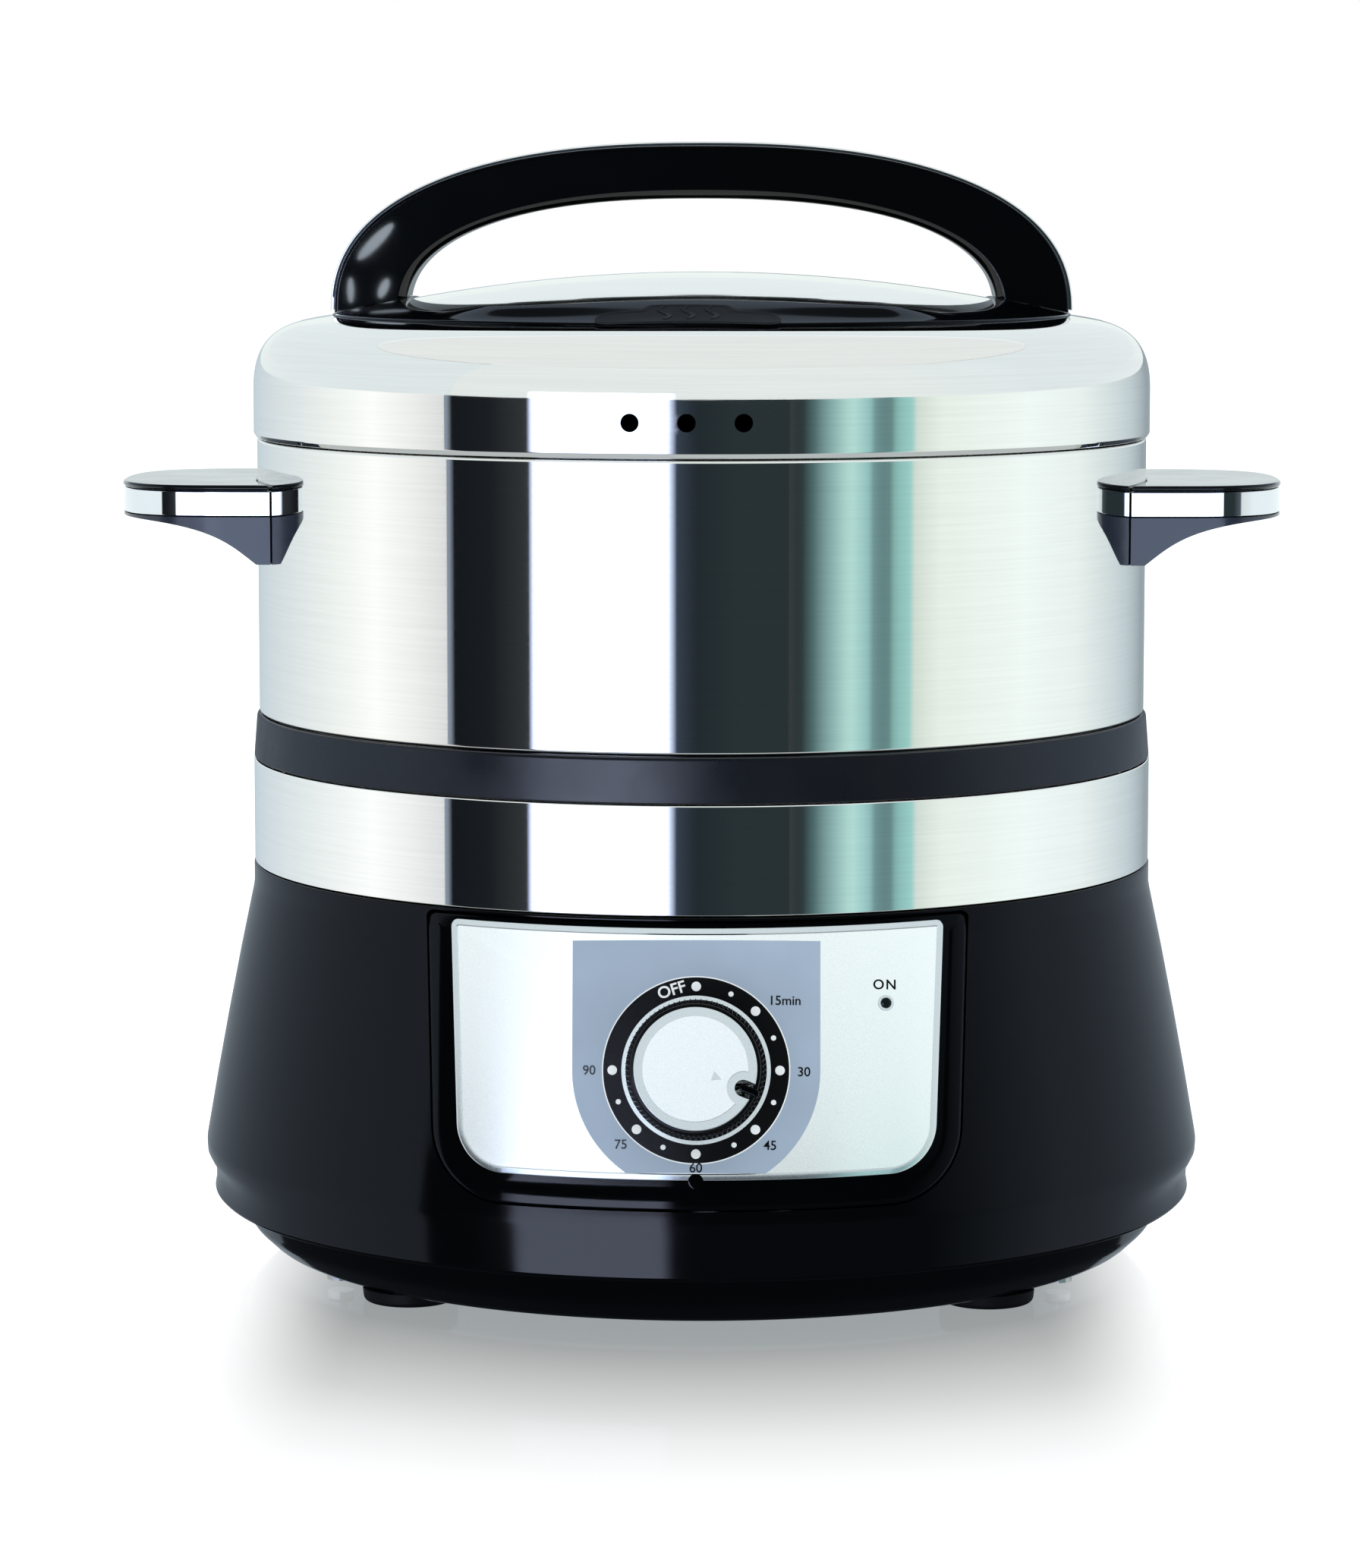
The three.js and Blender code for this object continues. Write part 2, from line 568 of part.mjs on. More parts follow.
// Right-hand side handle pieces: a flat cover, a bright band and a bracket with a hollowed underside.
const handlePlan = (z0, z1, inset = 0) =>
  prism(roundedBox(105, SIDE_REACH - inset, SIDE_HALF_W - inset, SIDE_CORNER), z0, z1, 6)
    .subtract(rod(POT_R + GAP, z0 - 1, z1 + 1, ROUND));
const COVER_Z = SIDE_TOP_Z - SIDE_COVER;
const BAND_FOOT_Z = COVER_Z - SIDE_BAND;
const handleCover = () => handlePlan(COVER_Z + 0.15, SIDE_TOP_Z);
const handleBand = () => handlePlan(BAND_FOOT_Z, COVER_Z - 0.15, 0.3);
function handleBracket() {
  const under = new THREE.Shape();
  under.moveTo(100, SIDE_FOOT_Z);
  under.lineTo(117.5, SIDE_FOOT_Z);
  under.bezierCurveTo(124.5, 195.8, 130, 201.8, 158, 202);
  under.lineTo(158, BAND_FOOT_Z - GAP);
  under.lineTo(100, BAND_FOOT_Z - GAP);
  const side = prism(under, -50, 50, 3).rotate([90, 0, 0]);
  return handlePlan(SIDE_FOOT_Z - 1, BAND_FOOT_Z - GAP).intersect(side).subtract(handleScrewHoles());
}
const HANDLE_SCREW_DEG = 8; // the two screws of a handle, either side of the X axis
const HANDLE_SCREW_Z = 198.5;
const handleScrewAxis = (solid, sign) =>
  solid.rotate([0, 90, 0]).translate([0, 0, HANDLE_SCREW_Z]).rotate([0, 0, sign * HANDLE_SCREW_DEG]);
function handleScrewHoles() {
  const hole = rod(1.9, 110, 129.5, 10);
  return handleScrewAxis(hole, 1).add(handleScrewAxis(hole, -1));
}
// A thin plate inside the pot that spreads the load of the two screws.
function handleBacking() {
  const inner = POT_R - SHEET - GAP;
  const plate = tubeRing(inner - 1.2, inner, HANDLE_SCREW_Z - 5, HANDLE_SCREW_Z + 5);
  const window = block([100, -24, HANDLE_SCREW_Z - 6], [125, 24, HANDLE_SCREW_Z + 6]);
  return plate.intersect(window).subtract(handleScrewHoles());
}
const handleScrew = (sign) => {
  const seat = POT_R - SHEET - 2 * GAP - 1.2;
  return handleScrewAxis(screw(3.4, 1.8, 1.6, 11).translate([0, 0, seat - 0.2]), sign);
};

// ---------------------------------------------------------------- egg rack
function eggPlate() {
  let plate = rod(96, RACK_Z, RACK_Z + 1.6, 48);
  for (let i = 0; i < EGGS; i++) {
    const [x, y] = around(EGG_RING_R, (360 * i) / EGGS);
    plate = plate.subtract(rod(EGG_HOLE_R, RACK_Z - 1, RACK_Z + 3, 16).translate([x, y, 0]));
  }
  for (const degrees of [30, 150, 270]) {
    const [x, y] = around(91, degrees);
    plate = plate.add(rod(4, RACK_FOOT_Z, RACK_Z + 0.5, 12).translate([x, y, 0]));
  }
  return plate.subtract(rod(4, RACK_Z - 1, RACK_Z + 3, 16));
}
const RACK_FOOT_Z = POT_FLOOR_Z + 1.1 + GAP;
function rackPost() {
  const stem = rod(3.6, RACK_FOOT_Z, 212, 16).add(rod(9, RACK_FOOT_Z, RACK_FOOT_Z + 2, 20));
  const shelf = rod(7, RACK_Z - GAP - 2, RACK_Z - GAP, 16);
  return stem.add(shelf).add(rod(6.5, RACK_Z + 1.9, RACK_Z + 4, 16));
}
const rackKnob = () => turned([[0, 212.3], [8, 212.3], [11, 215], [11, 219], [8.5, 222], [0, 222.8]], 24);

// ---------------------------------------------------------------- lid
// The lid's outer surface from the axis out to the foot of the shoulder.
function lidLine(offset, domeSteps = 3, shoulderSteps = 5) {
  const dome = Array.from({ length: domeSteps }, (_, i) => {
    const r = (SHOULDER_START_R * i) / domeSteps;
    return [r, domeHeight(r) + offset];
  });
  const start = new THREE.Vector2(SHOULDER_START_R, domeHeight(SHOULDER_START_R) + offset);
  const lean = new THREE.Vector2(106.5, domeHeight(SHOULDER_START_R) - 1.9 + offset);
  const corner = new THREE.Vector2(LID_R + offset, domeHeight(SHOULDER_START_R) - 0.8 + offset);
  const end = new THREE.Vector2(LID_R + offset, SHOULDER_END_Z);
  const shoulder = new THREE.CubicBezierCurve(start, lean, corner, end);
  return [...dome, ...shoulder.getPoints(shoulderSteps).map((p) => [p.x, p.y])];
}
function lidShell() {
  const shell = turned([
    ...lidLine(0),
    [LID_R, LID_EDGE_Z + 1.2],
    [LID_R - 0.7, LID_EDGE_Z],
    [117.0, LID_EDGE_Z],
    [117.0, LID_EDGE_Z - 7.5],
    [116.0, LID_EDGE_Z - 7.5],
    [116.0, LID_EDGE_Z + 1.0],
    [LID_R - 1.1, LID_EDGE_Z + 1.4],
    ...lidLine(-1.0, 2, 4).reverse(),
  ]);
  const vents = [-1, 0, 1].map((i) => {
    const angle = THREE.MathUtils.radToDeg((i * VENT_PITCH + VENT_OFFSET) / LID_R);
    return rod(VENT_R, 115, 126, 12).rotate([90, 0, 0]).translate([0, 0, VENT_Z]).rotate([0, 0, angle]);
  });
  const drill = vents.reduce((all, vent) => all.add(vent));
  return shell.subtract(drill).subtract(lidScrewPlaces(rod(2.0, 230, 275, 10)));
}
const LID_SCREW_R = 90; // distance from the axis of the screws that hold the handle from inside the lid
const lidScrewPlaces = (solid) =>
  solid.translate([LID_SCREW_R, 0, 0]).add(solid.translate([-LID_SCREW_R, 0, 0]));

// Everything of the lid's dome up to a height above it, as one solid.
const domeBlock = (above) => turned([...lidLine(above), [LID_R + above, 230], [0, 230]]);

const squircle = (halfX, halfY, power, steps) => {
  const quarter = quarterCurve(halfX, halfY, power, steps);
  const second = quarter.slice(0, -1).reverse().map(([x, y]) => [-x, y]);
  const upper = [...quarter, ...second];
  return [...upper, ...upper.slice(1, -1).reverse().map(([x, y]) => [x, -y])];
};

// The black ring that carries the arch: it follows the dome and is open in the middle.
function handleBase() {
  const lift = (r) => 0.7 + (HANDLE_BASE_THICK - 0.7) * Math.min(1, (HANDLE_BASE_R - r) / 14);
  const radii = [HANDLE_BASE_R, 97, 90, 76];
  const top = radii.map((r) => [r, domeOrShoulder(r) + GAP + lift(r)]);
  const under = radii.map((r) => [r, domeOrShoulder(r) + GAP]).reverse();
  const opening = prism(squircle(...HANDLE_BASE_HOLE, HANDLE_BASE_POWER, 10), 240, 280);
  const sides = prism(squircle(HANDLE_BASE_HALF_W, HANDLE_BASE_R, 2, 16), 230, 280);
  const ring = turned([...top, ...under]).intersect(sides).subtract(opening);
  return ring.subtract(lidScrewPlaces(rod(2.0, 230, 275, 10)));
}
// Height of the lid's surface anywhere out to the handle's base.
function domeOrShoulder(r) {
  const line = lidLine(0, 3, 24);
  const next = line.findIndex(([x]) => x >= r);
  if (next < 1 || r <= SHOULDER_START_R) return domeHeight(r);
  const [[x0, z0], [x1, z1]] = [line[next - 1], line[next]];
  return z0 + ((z1 - z0) * (r - x0)) / (x1 - x0);
}

// One of the arch's curves, from its right end over the crown to its left end.
function archCurve(inset, drop = inset) {
  const rise = ARCH_TOP_Z - ARCH_SPRING_Z - drop;
  const right = quarterCurve(ARCH_HALF_SPAN - inset, rise, ARCH_POWER, 12);
  const left = right.slice(0, -1).reverse().map(([x, z]) => [-x, z]);
  return [...right, ...left].map(([x, z]) => [x, z + ARCH_SPRING_Z]);
}
// Outline of the black arch, whose legs run straight down into the lid.
function archOutline() {
  const outer = archCurve(STRIP_THICK + GAP);
  const inner = archCurve(ARCH_THICK[1], ARCH_THICK[0]).reverse();
  const foot = ARCH_SPRING_Z - 6;
  const legs = (curve) => [[curve[0][0], foot], ...curve, [-curve[0][0], foot]];
  return [...legs(outer), ...legs(inner)];
}
function archBevelled(outline, depth, bevel) {
  const shape = new THREE.Shape(outline.map(([x, z]) => new THREE.Vector2(x, z)));
  const options = { depth: depth - 2 * bevel, bevelEnabled: true, bevelSize: bevel, bevelOffset: -bevel };
  const body = new THREE.ExtrudeGeometry(shape, { ...options, bevelThickness: bevel, bevelSegments: 1 });
  return solidOf(body.translate(0, 0, bevel - depth / 2)).rotate([90, 0, 0]);
}
function handleArch() {
  const arch = archBevelled(archOutline(), ARCH_DEPTH, 2);
  const seam = domeBlock(HANDLE_BASE_THICK + 2 * GAP + 0.2);
  return arch.subtract(seam).subtract(lidScrewPlaces(rod(1.9, 230, 266, 10)));
}
function brightStrip() {
  const outline = [...archCurve(0), ...archCurve(STRIP_THICK).reverse()];
  return sidePrism(outline, STRIP_DEPTH).subtract(domeBlock(HANDLE_BASE_THICK + 3 * GAP));
}

// A plain oval badge on the front of the handle's base.
const BADGE_X = -2;
function steamBadge() {
  const shape = new THREE.Shape();
  shape.absellipse(BADGE_X, -94, 23.5, 6.2, 0, 2 * Math.PI, false);
  const layer = turned([
    ...[102, 99, 95, 90, 85].map((r) => [r, domeOrShoulder(r) + HANDLE_BASE_THICK + 2 * GAP + 0.7]),
    ...[85, 90, 95, 99, 102].map((r) => [r, domeOrShoulder(r) + HANDLE_BASE_THICK + 2 * GAP]),
  ]);
  return layer.intersect(prism(shape, 240, 280, 12));
}
const lidScrew = (side) =>
  screw(3.6, 2, 1.6, 9).translate([side * LID_SCREW_R, 0, domeHeight(LID_SCREW_R) - 3]);

// ---------------------------------------------------------------- the assembly
// Both leads start at the terminal block.
const TIMER_LEAD_PATH = [[-12, 82.6, 13], [-45, 60, 12], [-60, 5, 20], [-50, -50, 40], [-26, -86, 52]];
const HEATER_LEAD_PATH = [[12, 82.6, 13], [30, 60, 22], [32, 30, 40], [20, 22, 55]];

const cooker = new THREE.Group();
const base = new THREE.Group();
const pot = new THREE.Group();
const rack = new THREE.Group();
const lid = new THREE.Group();
cooker.add(base, pot, rack, lid);

base.add(
  meshOf("base_housing", baseHousing(), satinBlack),
  meshOf("bottom_tray", bottomTray(), satinBlack),
  meshOf("steel_band", steelBand(), bandSteel),
  meshOf("collar_ring", collarRing(), satinBlack),
  meshOf("water_reservoir", waterReservoir(), whitePlastic),
  meshOf("heating_plate", heatingPlate(), heaterMetal),
  meshOf("heater_seal", heaterSeal(), silicone),
  meshOf("heater_clamp", heaterClamp(), zincSteel),
  meshOf("heating_element", heatingElement(), castAluminium),
  meshOf("thermostat", thermostat(), phenolic),
  meshOf("thermal_fuse", thermalFuse(), whitePlastic),
  meshOf("panel_bezel", panelBezel(), glossBlack),
  meshOf("panel_plate", panelPlate(), silverPlate),
  meshOf("lamp_lens", lampLens(), lampGlass),
  meshOf("lamp_body", lampBody(), whitePlastic),
  meshOf("timer_case", onPanel(timerCase()), zincSteel),
  meshOf("timer_bell", onPanel(timerBell()), brass),
  meshOf("timer_pinion", onPanel(pinionArbor()), brass),
  meshOf("cord_gland", cordGland(), rubber),
  meshOf("terminal_block", terminalBlock(), whitePlastic),
  meshOf("timer_lead", lead(TIMER_LEAD_PATH), wireJacket),
  meshOf("heater_lead", lead(HEATER_LEAD_PATH), wireJacket),
);
for (const [side, sx] of [["left", -1], ["right", 1]]) {
  for (const [end, sy] of [["front", -1], ["rear", 1]]) {
    const at = foot().translate([sx * FOOT_AT[0], sy * FOOT_AT[1], 0]);
    base.add(meshOf(`foot_${end}_${side}`, at, rubber));
  }
}
SCREW_POST_DEG.forEach((angle, i) => {
  const at = screw(3.6, 2, 1.6, 26).translate([0, -SCREW_POST_R, TRAY_BOTTOM_Z - GAP]);
  base.add(meshOf(`tray_screw_${i + 1}`, at.rotate([0, 0, angle]), zincSteel));
});

base.add(
  meshOf("knob_skirt", onPanel(knobSkirt()), glossBlack),
  meshOf("knob_cap", onPanel(knobCap()), silverPlate),
  meshOf("timer_shaft", onPanel(timerShaft()), brass),
  meshOf("timer_main_gear", onPanel(mainGear()), brass),
);

pot.add(
  meshOf("steamer_pot", steamerPot(), steel),
  meshOf("perforated_floor", perforatedFloor(), steel),
);
for (const [side, place] of [["right", (s) => s], ["left", mirrored]]) {
  pot.add(
    meshOf(`side_handle_cover_${side}`, place(handleCover()), satinBlack),
    meshOf(`side_handle_band_${side}`, place(handleBand()), chrome),
    meshOf(`side_handle_bracket_${side}`, place(handleBracket()), satinBlack),
    meshOf(`handle_backing_${side}`, place(handleBacking()), steel),
    meshOf(`handle_screw_${side}_front`, place(handleScrew(-1)), zincSteel),
    meshOf(`handle_screw_${side}_rear`, place(handleScrew(1)), zincSteel),
  );
}

rack.add(
  meshOf("egg_plate", eggPlate(), whitePlastic),
  meshOf("rack_post", rackPost(), steel),
  meshOf("rack_knob", rackKnob(), glossBlack),
);

lid.add(
  meshOf("lid_shell", lidShell(), steel),
  meshOf("handle_base", handleBase(), glossBlack),
  meshOf("handle_arch", handleArch(), glossBlack),
  meshOf("handle_strip", brightStrip(), chrome),
  meshOf("steam_badge", steamBadge(), satinBlack),
);
lid.add(
  meshOf("lid_screw_right", lidScrew(1), zincSteel),
  meshOf("lid_screw_left", lidScrew(-1), zincSteel),
);

export default cooker;
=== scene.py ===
"""Looks of the egg cooker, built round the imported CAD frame.

Lengths in this file are millimetres, in the frame's own axes (+Z up, the control panel faces -Y), and
are turned into metres when a mesh is made.
"""

from math import acos, asin, atan2, ceil, copysign, cos, degrees, hypot, pi, radians, sin, sqrt, tan

import bmesh
import bpy
from mathutils import Matrix, Vector
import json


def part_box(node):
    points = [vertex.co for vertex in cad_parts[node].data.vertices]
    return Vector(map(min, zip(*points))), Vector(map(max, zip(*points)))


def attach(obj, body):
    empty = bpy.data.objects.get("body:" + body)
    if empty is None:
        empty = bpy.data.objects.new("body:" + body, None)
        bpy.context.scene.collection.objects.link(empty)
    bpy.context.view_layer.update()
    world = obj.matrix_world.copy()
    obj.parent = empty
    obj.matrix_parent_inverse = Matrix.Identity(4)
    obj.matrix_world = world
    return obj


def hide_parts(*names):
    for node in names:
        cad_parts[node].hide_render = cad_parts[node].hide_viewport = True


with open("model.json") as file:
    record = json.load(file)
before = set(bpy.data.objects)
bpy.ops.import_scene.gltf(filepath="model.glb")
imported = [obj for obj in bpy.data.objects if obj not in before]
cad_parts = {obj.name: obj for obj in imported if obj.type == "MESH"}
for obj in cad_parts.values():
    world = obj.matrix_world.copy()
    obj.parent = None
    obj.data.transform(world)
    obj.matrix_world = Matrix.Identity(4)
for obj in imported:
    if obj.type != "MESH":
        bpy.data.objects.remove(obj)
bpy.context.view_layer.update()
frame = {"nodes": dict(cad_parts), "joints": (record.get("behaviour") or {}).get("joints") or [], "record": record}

MM = 0.001
SIDES = 256  # round the large turned parts
scene = bpy.context.scene


def span(node):
    """A CAD node's lowest and highest corners."""
    low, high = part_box(node)
    return low / MM, high / MM


# ---- dimensions
POT_R, _, RIM_Z = span("steamer_pot")[1]
BAND_R = span("steel_band")[1].x
BAND_Z = [corner.z for corner in span("steel_band")]
COLLAR_Z = (BAND_Z[1] + 0.3, span("collar_ring")[1].z)
POT_FLOOR_Z = span("perforated_floor")[0].z
LID_R, _, DOME_Z = span("lid_shell")[1]
LID_EDGE_Z = RIM_Z + 0.35
ARCH_HALF_SPAN, _, ARCH_TOP_Z = span("handle_strip")[1]
HANDLE_BASE_R = span("handle_base")[1].x
SIDE_REACH, SIDE_HALF_W, SIDE_TOP_Z = span("side_handle_cover_right")[1]
SIDE_BEND_X = 126.0  # a side handle's rounded end starts here
SIDE_POWER = 2.7  # and is this square: 2 is an ellipse
SIDE_BAND_Z = [corner.z for corner in span("side_handle_band_right")]
SIDE_FOOT_Z = span("side_handle_bracket_right")[0].z
TRAY_Z = span("bottom_tray")[0].z
DIAL = Vector(frame["joints"][0]["pos_m"]) / MM
SLOPE = asin(frame["joints"][0]["axis"][2])  # how far the panel leans back

SHELL_BOTTOM = (134.7, 17.9)  # radius and height of the housing's corners, from the foot up
CONE_FOOT = (135.5, 32.0)
CONE_TOP = (121.9, 102.0)
SHELL_TOP_Z = BAND_Z[0] - 0.3
CONE_BULGE = 0.4
PLASTIC = 2.6
SCOOP_DEPTH = 2.0

PLATE_HALF_W = (60.2, 62.5)  # at its lower and its upper edge
PLATE_V = (-27.6, 35.4)  # those edges, up the slope from the dial
LAMP_AT = (47.5, 17.2)  # across and up the slope from the dial
PLATE_CORNER = 12.0
BEZEL_BORDER = (6.2, 7.6)  # beside the plate and below it
BEZEL_HEAD = 1.5  # the bezel reaches this far over the plate
PLATE_FACE = 0.35  # the printed face stands this far out of the housing's surface
POINTER = radians(-111.8)
KNOB_FACE = 16.0  # the knob's face stands this far out of the panel
KNOB_RIBS = 80
GLAND_Z = 29.0

DOME_RADIUS = 432.0
SHOULDER_R = 98.5  # the dome ends here
SHOULDER_END_Z = 236.0
VENT_Z = 231.7
VENT_PITCH = 14.2
VENT_OFFSET = -2.5
LID_TURN = radians(-1.5)  # the lid sits turned a little
ARCH_SPRING_Z = 256.0
ARCH_POWER = 2.38
ARCH_THICK = (15.2, 20.4)  # at its top and at its feet
ARCH_DEPTH = 25.0
STRIP_THICK = 1.1
STRIP_DEPTH = 21.0
OPENING = (78.0, 82.6, 6.0)  # half sizes and power of the opening in the lid handle's base
OPENING_LIMIT = 92.0  # and the largest radius of its corners

# Rings of holes in the pot's floor: how many, and the ring's radius.
HOLE_RINGS = ((1, 0), (6, 17), (12, 34), (18, 53), (24, 72), (30, 91))
EGG_RING_R = 64.0
EGG_HOLE_R = 20.0
LEG_RING_R = 91.0  # the rack's legs
LEG_R = 4.0

FOCAL = 117.5
CAMERA_DISTANCE = 1389.0
CAMERA_HEIGHT = 293.0
CAMERA_PITCH = radians(6.8)
CAMERA_AIM = radians(0.241)  # the object stands a little right of the frame's middle
CAMERA_TURN = radians(0.58)  # the camera stands this far round to the right
CARD_R = 3000.0
CARD_BOTTOM = -1600.0
CARD_TOP = 2900.0
CARD_SPLIT_Z = 378.0  # over this height the paper goes all round
CARD_LEFT = -65.6  # below it, it leaves the front dark from this azimuth to the start of the tints


# ---- outlines
def smoothstep(low, high, value):
    t = min(max((value - low) / (high - low), 0.0), 1.0)
    return t * t * (3 - 2 * t)


def rounded(points, closed=True, turn=10.0):
    """An outline whose points are (x, y) or (x, y, radius); a radius makes the corner an arc."""
    made = []
    count = len(points)
    for i, point in enumerate(points):
        here = Vector(point[:2])
        is_end = not closed and i in (0, count - 1)
        if len(point) == 2 or is_end:
            made.append(here)
            continue
        before = Vector(points[i - 1][:2]) - here
        after = Vector(points[(i + 1) % count][:2]) - here
        angle = before.angle(after)
        reach = min(point[2] / tan(angle / 2), 0.49 * before.length, 0.49 * after.length)
        radius = reach * tan(angle / 2)
        middle = (before.normalized() + after.normalized()).normalized()
        centre = here + middle * (radius / sin(angle / 2))
        start = here + before.normalized() * reach - centre
        sweep = start.angle_signed(here + after.normalized() * reach - centre)
        steps = max(2, round(degrees(abs(sweep)) / turn))
        for k in range(steps + 1):
            made.append(centre + Matrix.Rotation(-sweep * k / steps, 2) @ start)
    return made


def densified(line, step, closed=True):
    """The same outline with extra points, none further apart than a step."""
    made = []
    for i, here in enumerate(line):
        made.append(here)
        if i + 1 == len(line) and not closed:
            break
        after = line[(i + 1) % len(line)]
        extra = ceil((after - here).length / step)
        made += [here.lerp(after, k / extra) for k in range(1, extra)]
    return made


def polar(radius, angle):
    """A place at a distance from the Z axis, at an angle from the front."""
    return radius * sin(angle), -radius * cos(angle)


def circle(radius, centre=(0.0, 0.0), sides=48):
    turns = [2 * pi * i / sides for i in range(sides)]
    return [Vector((centre[0] + radius * cos(a), centre[1] + radius * sin(a))) for a in turns]


def superellipse(angle, half_x, half_y, power):
    """A point of an ellipse that a power over 2 makes squarer."""
    c, s = cos(angle), sin(angle)
    x = copysign(half_x * abs(c) ** (2 / power), c)
    y = copysign(half_y * abs(s) ** (2 / power), s)
    return Vector((x, y))


def bezier(knots, t):
    """A point of the cubic curve over four knots."""
    a, b, c, d = [Vector(knot) for knot in knots]
    return a * (1 - t) ** 3 + b * 3 * t * (1 - t) ** 2 + c * 3 * t * t * (1 - t) + d * t**3


def slot(half_length, radius, sides=24, y=0.0, x=0.0):
    """A slot with round ends, along Y."""
    middle = Vector((x, y))
    turns = [pi * k / sides for k in range(sides + 1)]
    end = [Vector((radius * cos(a), half_length - radius + radius * sin(a))) for a in turns]
    return [middle + p for p in end] + [middle - p for p in end]


# ---- meshes
def mesh_object(verts, faces, matrix=None):
    """An object from points in millimetres, with its faces pointing outwards."""
    mesh = bpy.data.meshes.new("made")
    mesh.from_pydata([Vector(v) for v in verts], [], faces)
    if matrix is not None:
        mesh.transform(matrix)
    mesh.transform(Matrix.Scale(MM, 4))
    work = bmesh.new()
    work.from_mesh(mesh)
    bmesh.ops.remove_doubles(work, verts=work.verts, dist=1e-7)
    bmesh.ops.recalc_face_normals(work, faces=work.faces)
    work.to_mesh(mesh)
    work.free()
    made = bpy.data.objects.new("made", mesh)
    scene.collection.objects.link(made)
    return made


def sheet(outline):
    """A single flat face."""
    return mesh_object(outline, [list(range(len(outline)))])


def skinned(rings, closed=False):
    """Faces between rings of equally many vertex numbers; a ring may repeat one number."""
    faces = []
    pairs = list(zip(rings, rings[1:]))
    if closed:
        pairs.append((rings[-1], rings[0]))
    for low, high in pairs:
        for i in range(len(low)):
            j = (i + 1) % len(low)
            quad = [low[i], low[j], high[j], high[i]]
            quad = [v for k, v in enumerate(quad) if v != quad[k - 1]]
            if len(quad) > 2:
                faces.append(quad)
    return faces


def turned(outline, sides=SIDES, warp=None, matrix=None, step=None):
    """An outline of (radius, height) turned round Z. It closes on itself, or starts and ends on the axis."""
    closed = outline[0][0] > 0
    line = rounded(outline, closed)
    if step:
        line = densified(line, step, closed)
    verts, rings = [], []
    for radius, height in line:
        first = len(verts)
        if radius < 1e-6:
            verts.append((0, 0, height))
            rings.append([first] * sides)
            continue
        for i in range(sides):
            a = 2 * pi * i / sides
            r, z = warp(radius, height, a) if warp else (radius, height)
            verts.append((*polar(r, a), z))
        rings.append(list(range(first, first + sides)))
    return mesh_object(verts, skinned(rings, closed), matrix)


def lofted(loops, closed=False, matrix=None):
    """A skin over loops of equally many points, which has an end face at each end or closes on itself."""
    count = len(loops[0])
    rings = [list(range(count * i, count * (i + 1))) for i in range(len(loops))]
    ends = [] if closed else [rings[0], rings[-1]]
    return mesh_object([p for loop in loops for p in loop], [*skinned(rings, closed), *ends], matrix)


def extruded(outline, z0, z1, matrix=None):
    """A flat outline made into a plate between two heights."""
    return lofted([[(p[0], p[1], z) for p in outline] for z in (z0, z1)], matrix=matrix)


def patch(outline, place, edge, back, rings=12, centre=(0.0, 0.0)):
    """A sheet with a shaped edge. edge lists (inset, height) from the rim in, place maps x, y, height."""
    middle = Vector(centre)
    back_rings = 5
    verts, loops = [], []

    def add(points, height):
        loops.append(list(range(len(verts), len(verts) + len(points))))
        verts.extend(place(p.x, p.y, height) for p in points)

    for k in range(1, back_rings + 1):
        add([middle.lerp(p, k / back_rings) for p in outline(0.0)], back)
    for inset, height in edge:
        add(outline(inset), height)
    inset, top = edge[-1]
    for k in range(rings - 1, 0, -1):
        add([middle.lerp(p, k / rings) for p in outline(inset)], top)
    faces = skinned(loops)
    for cap, height in ((loops[0], back), (loops[-1], top)):
        hub = len(verts)
        verts.append(place(middle.x, middle.y, height))
        faces += [[cap[i], cap[(i + 1) % len(cap)], hub] for i in range(len(cap))]
    return mesh_object(verts, faces)


def applied(thing):
    """The mesh of an object with its modifiers, or of a text."""
    bpy.context.view_layer.update()
    graph = bpy.context.evaluated_depsgraph_get()
    return bpy.data.meshes.new_from_object(thing.evaluated_get(graph))


def carve(target, tool, operation="DIFFERENCE"):
    """Cuts one object with another, or joins them, and removes the tool."""
    change = target.modifiers.new("carve", "BOOLEAN")
    change.operation = operation
    change.solver = "EXACT"
    change.object = tool
    mesh = applied(target)
    target.modifiers.clear()
    target.data = mesh
    bpy.data.objects.remove(tool)
    return target


def drilled(target, places, radius, sides, low, high):
    """Cuts upright round holes, none of which touch, between two heights."""
    drills = [extruded(circle(radius, place, sides), low, high) for place in places]
    work = bmesh.new()
    for drill in drills:
        work.from_mesh(drill.data)
    work.to_mesh(drills[0].data)
    work.free()
    for drill in drills[1:]:
        bpy.data.objects.remove(drill)
    return carve(target, drills[0])


def piece(made, name, material, body, nodes=(), bevel=0.0, sharp=32.0):
    """Names an object, gives it its material and its smooth shading, and hangs it on its CAD body."""
    made.name = name
    made.data.name = name
    made.data.materials.clear()
    made.data.materials.append(MATERIALS[material])
    for face in made.data.polygons:
        face.use_smooth = True
        face.material_index = 0
    if bevel:
        edges = made.modifiers.new("bevel", "BEVEL")
        edges.width = bevel * MM
        edges.segments = 3
        edges.limit_method = "ANGLE"
        edges.angle_limit = radians(40)
    made.data.set_sharp_from_angle(angle=radians(180 if bevel else sharp))
    normals = made.modifiers.new("normals", "WEIGHTED_NORMAL")
    normals.keep_sharp = True
    if material in BRIGHT:
        lit.objects.link(made)
    if material in PANEL_BRIGHT:
        lit_panel.objects.link(made)
    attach(made, body)
    if nodes:
        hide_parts(*nodes)
    return made


# ---- materials
MATERIALS = {}
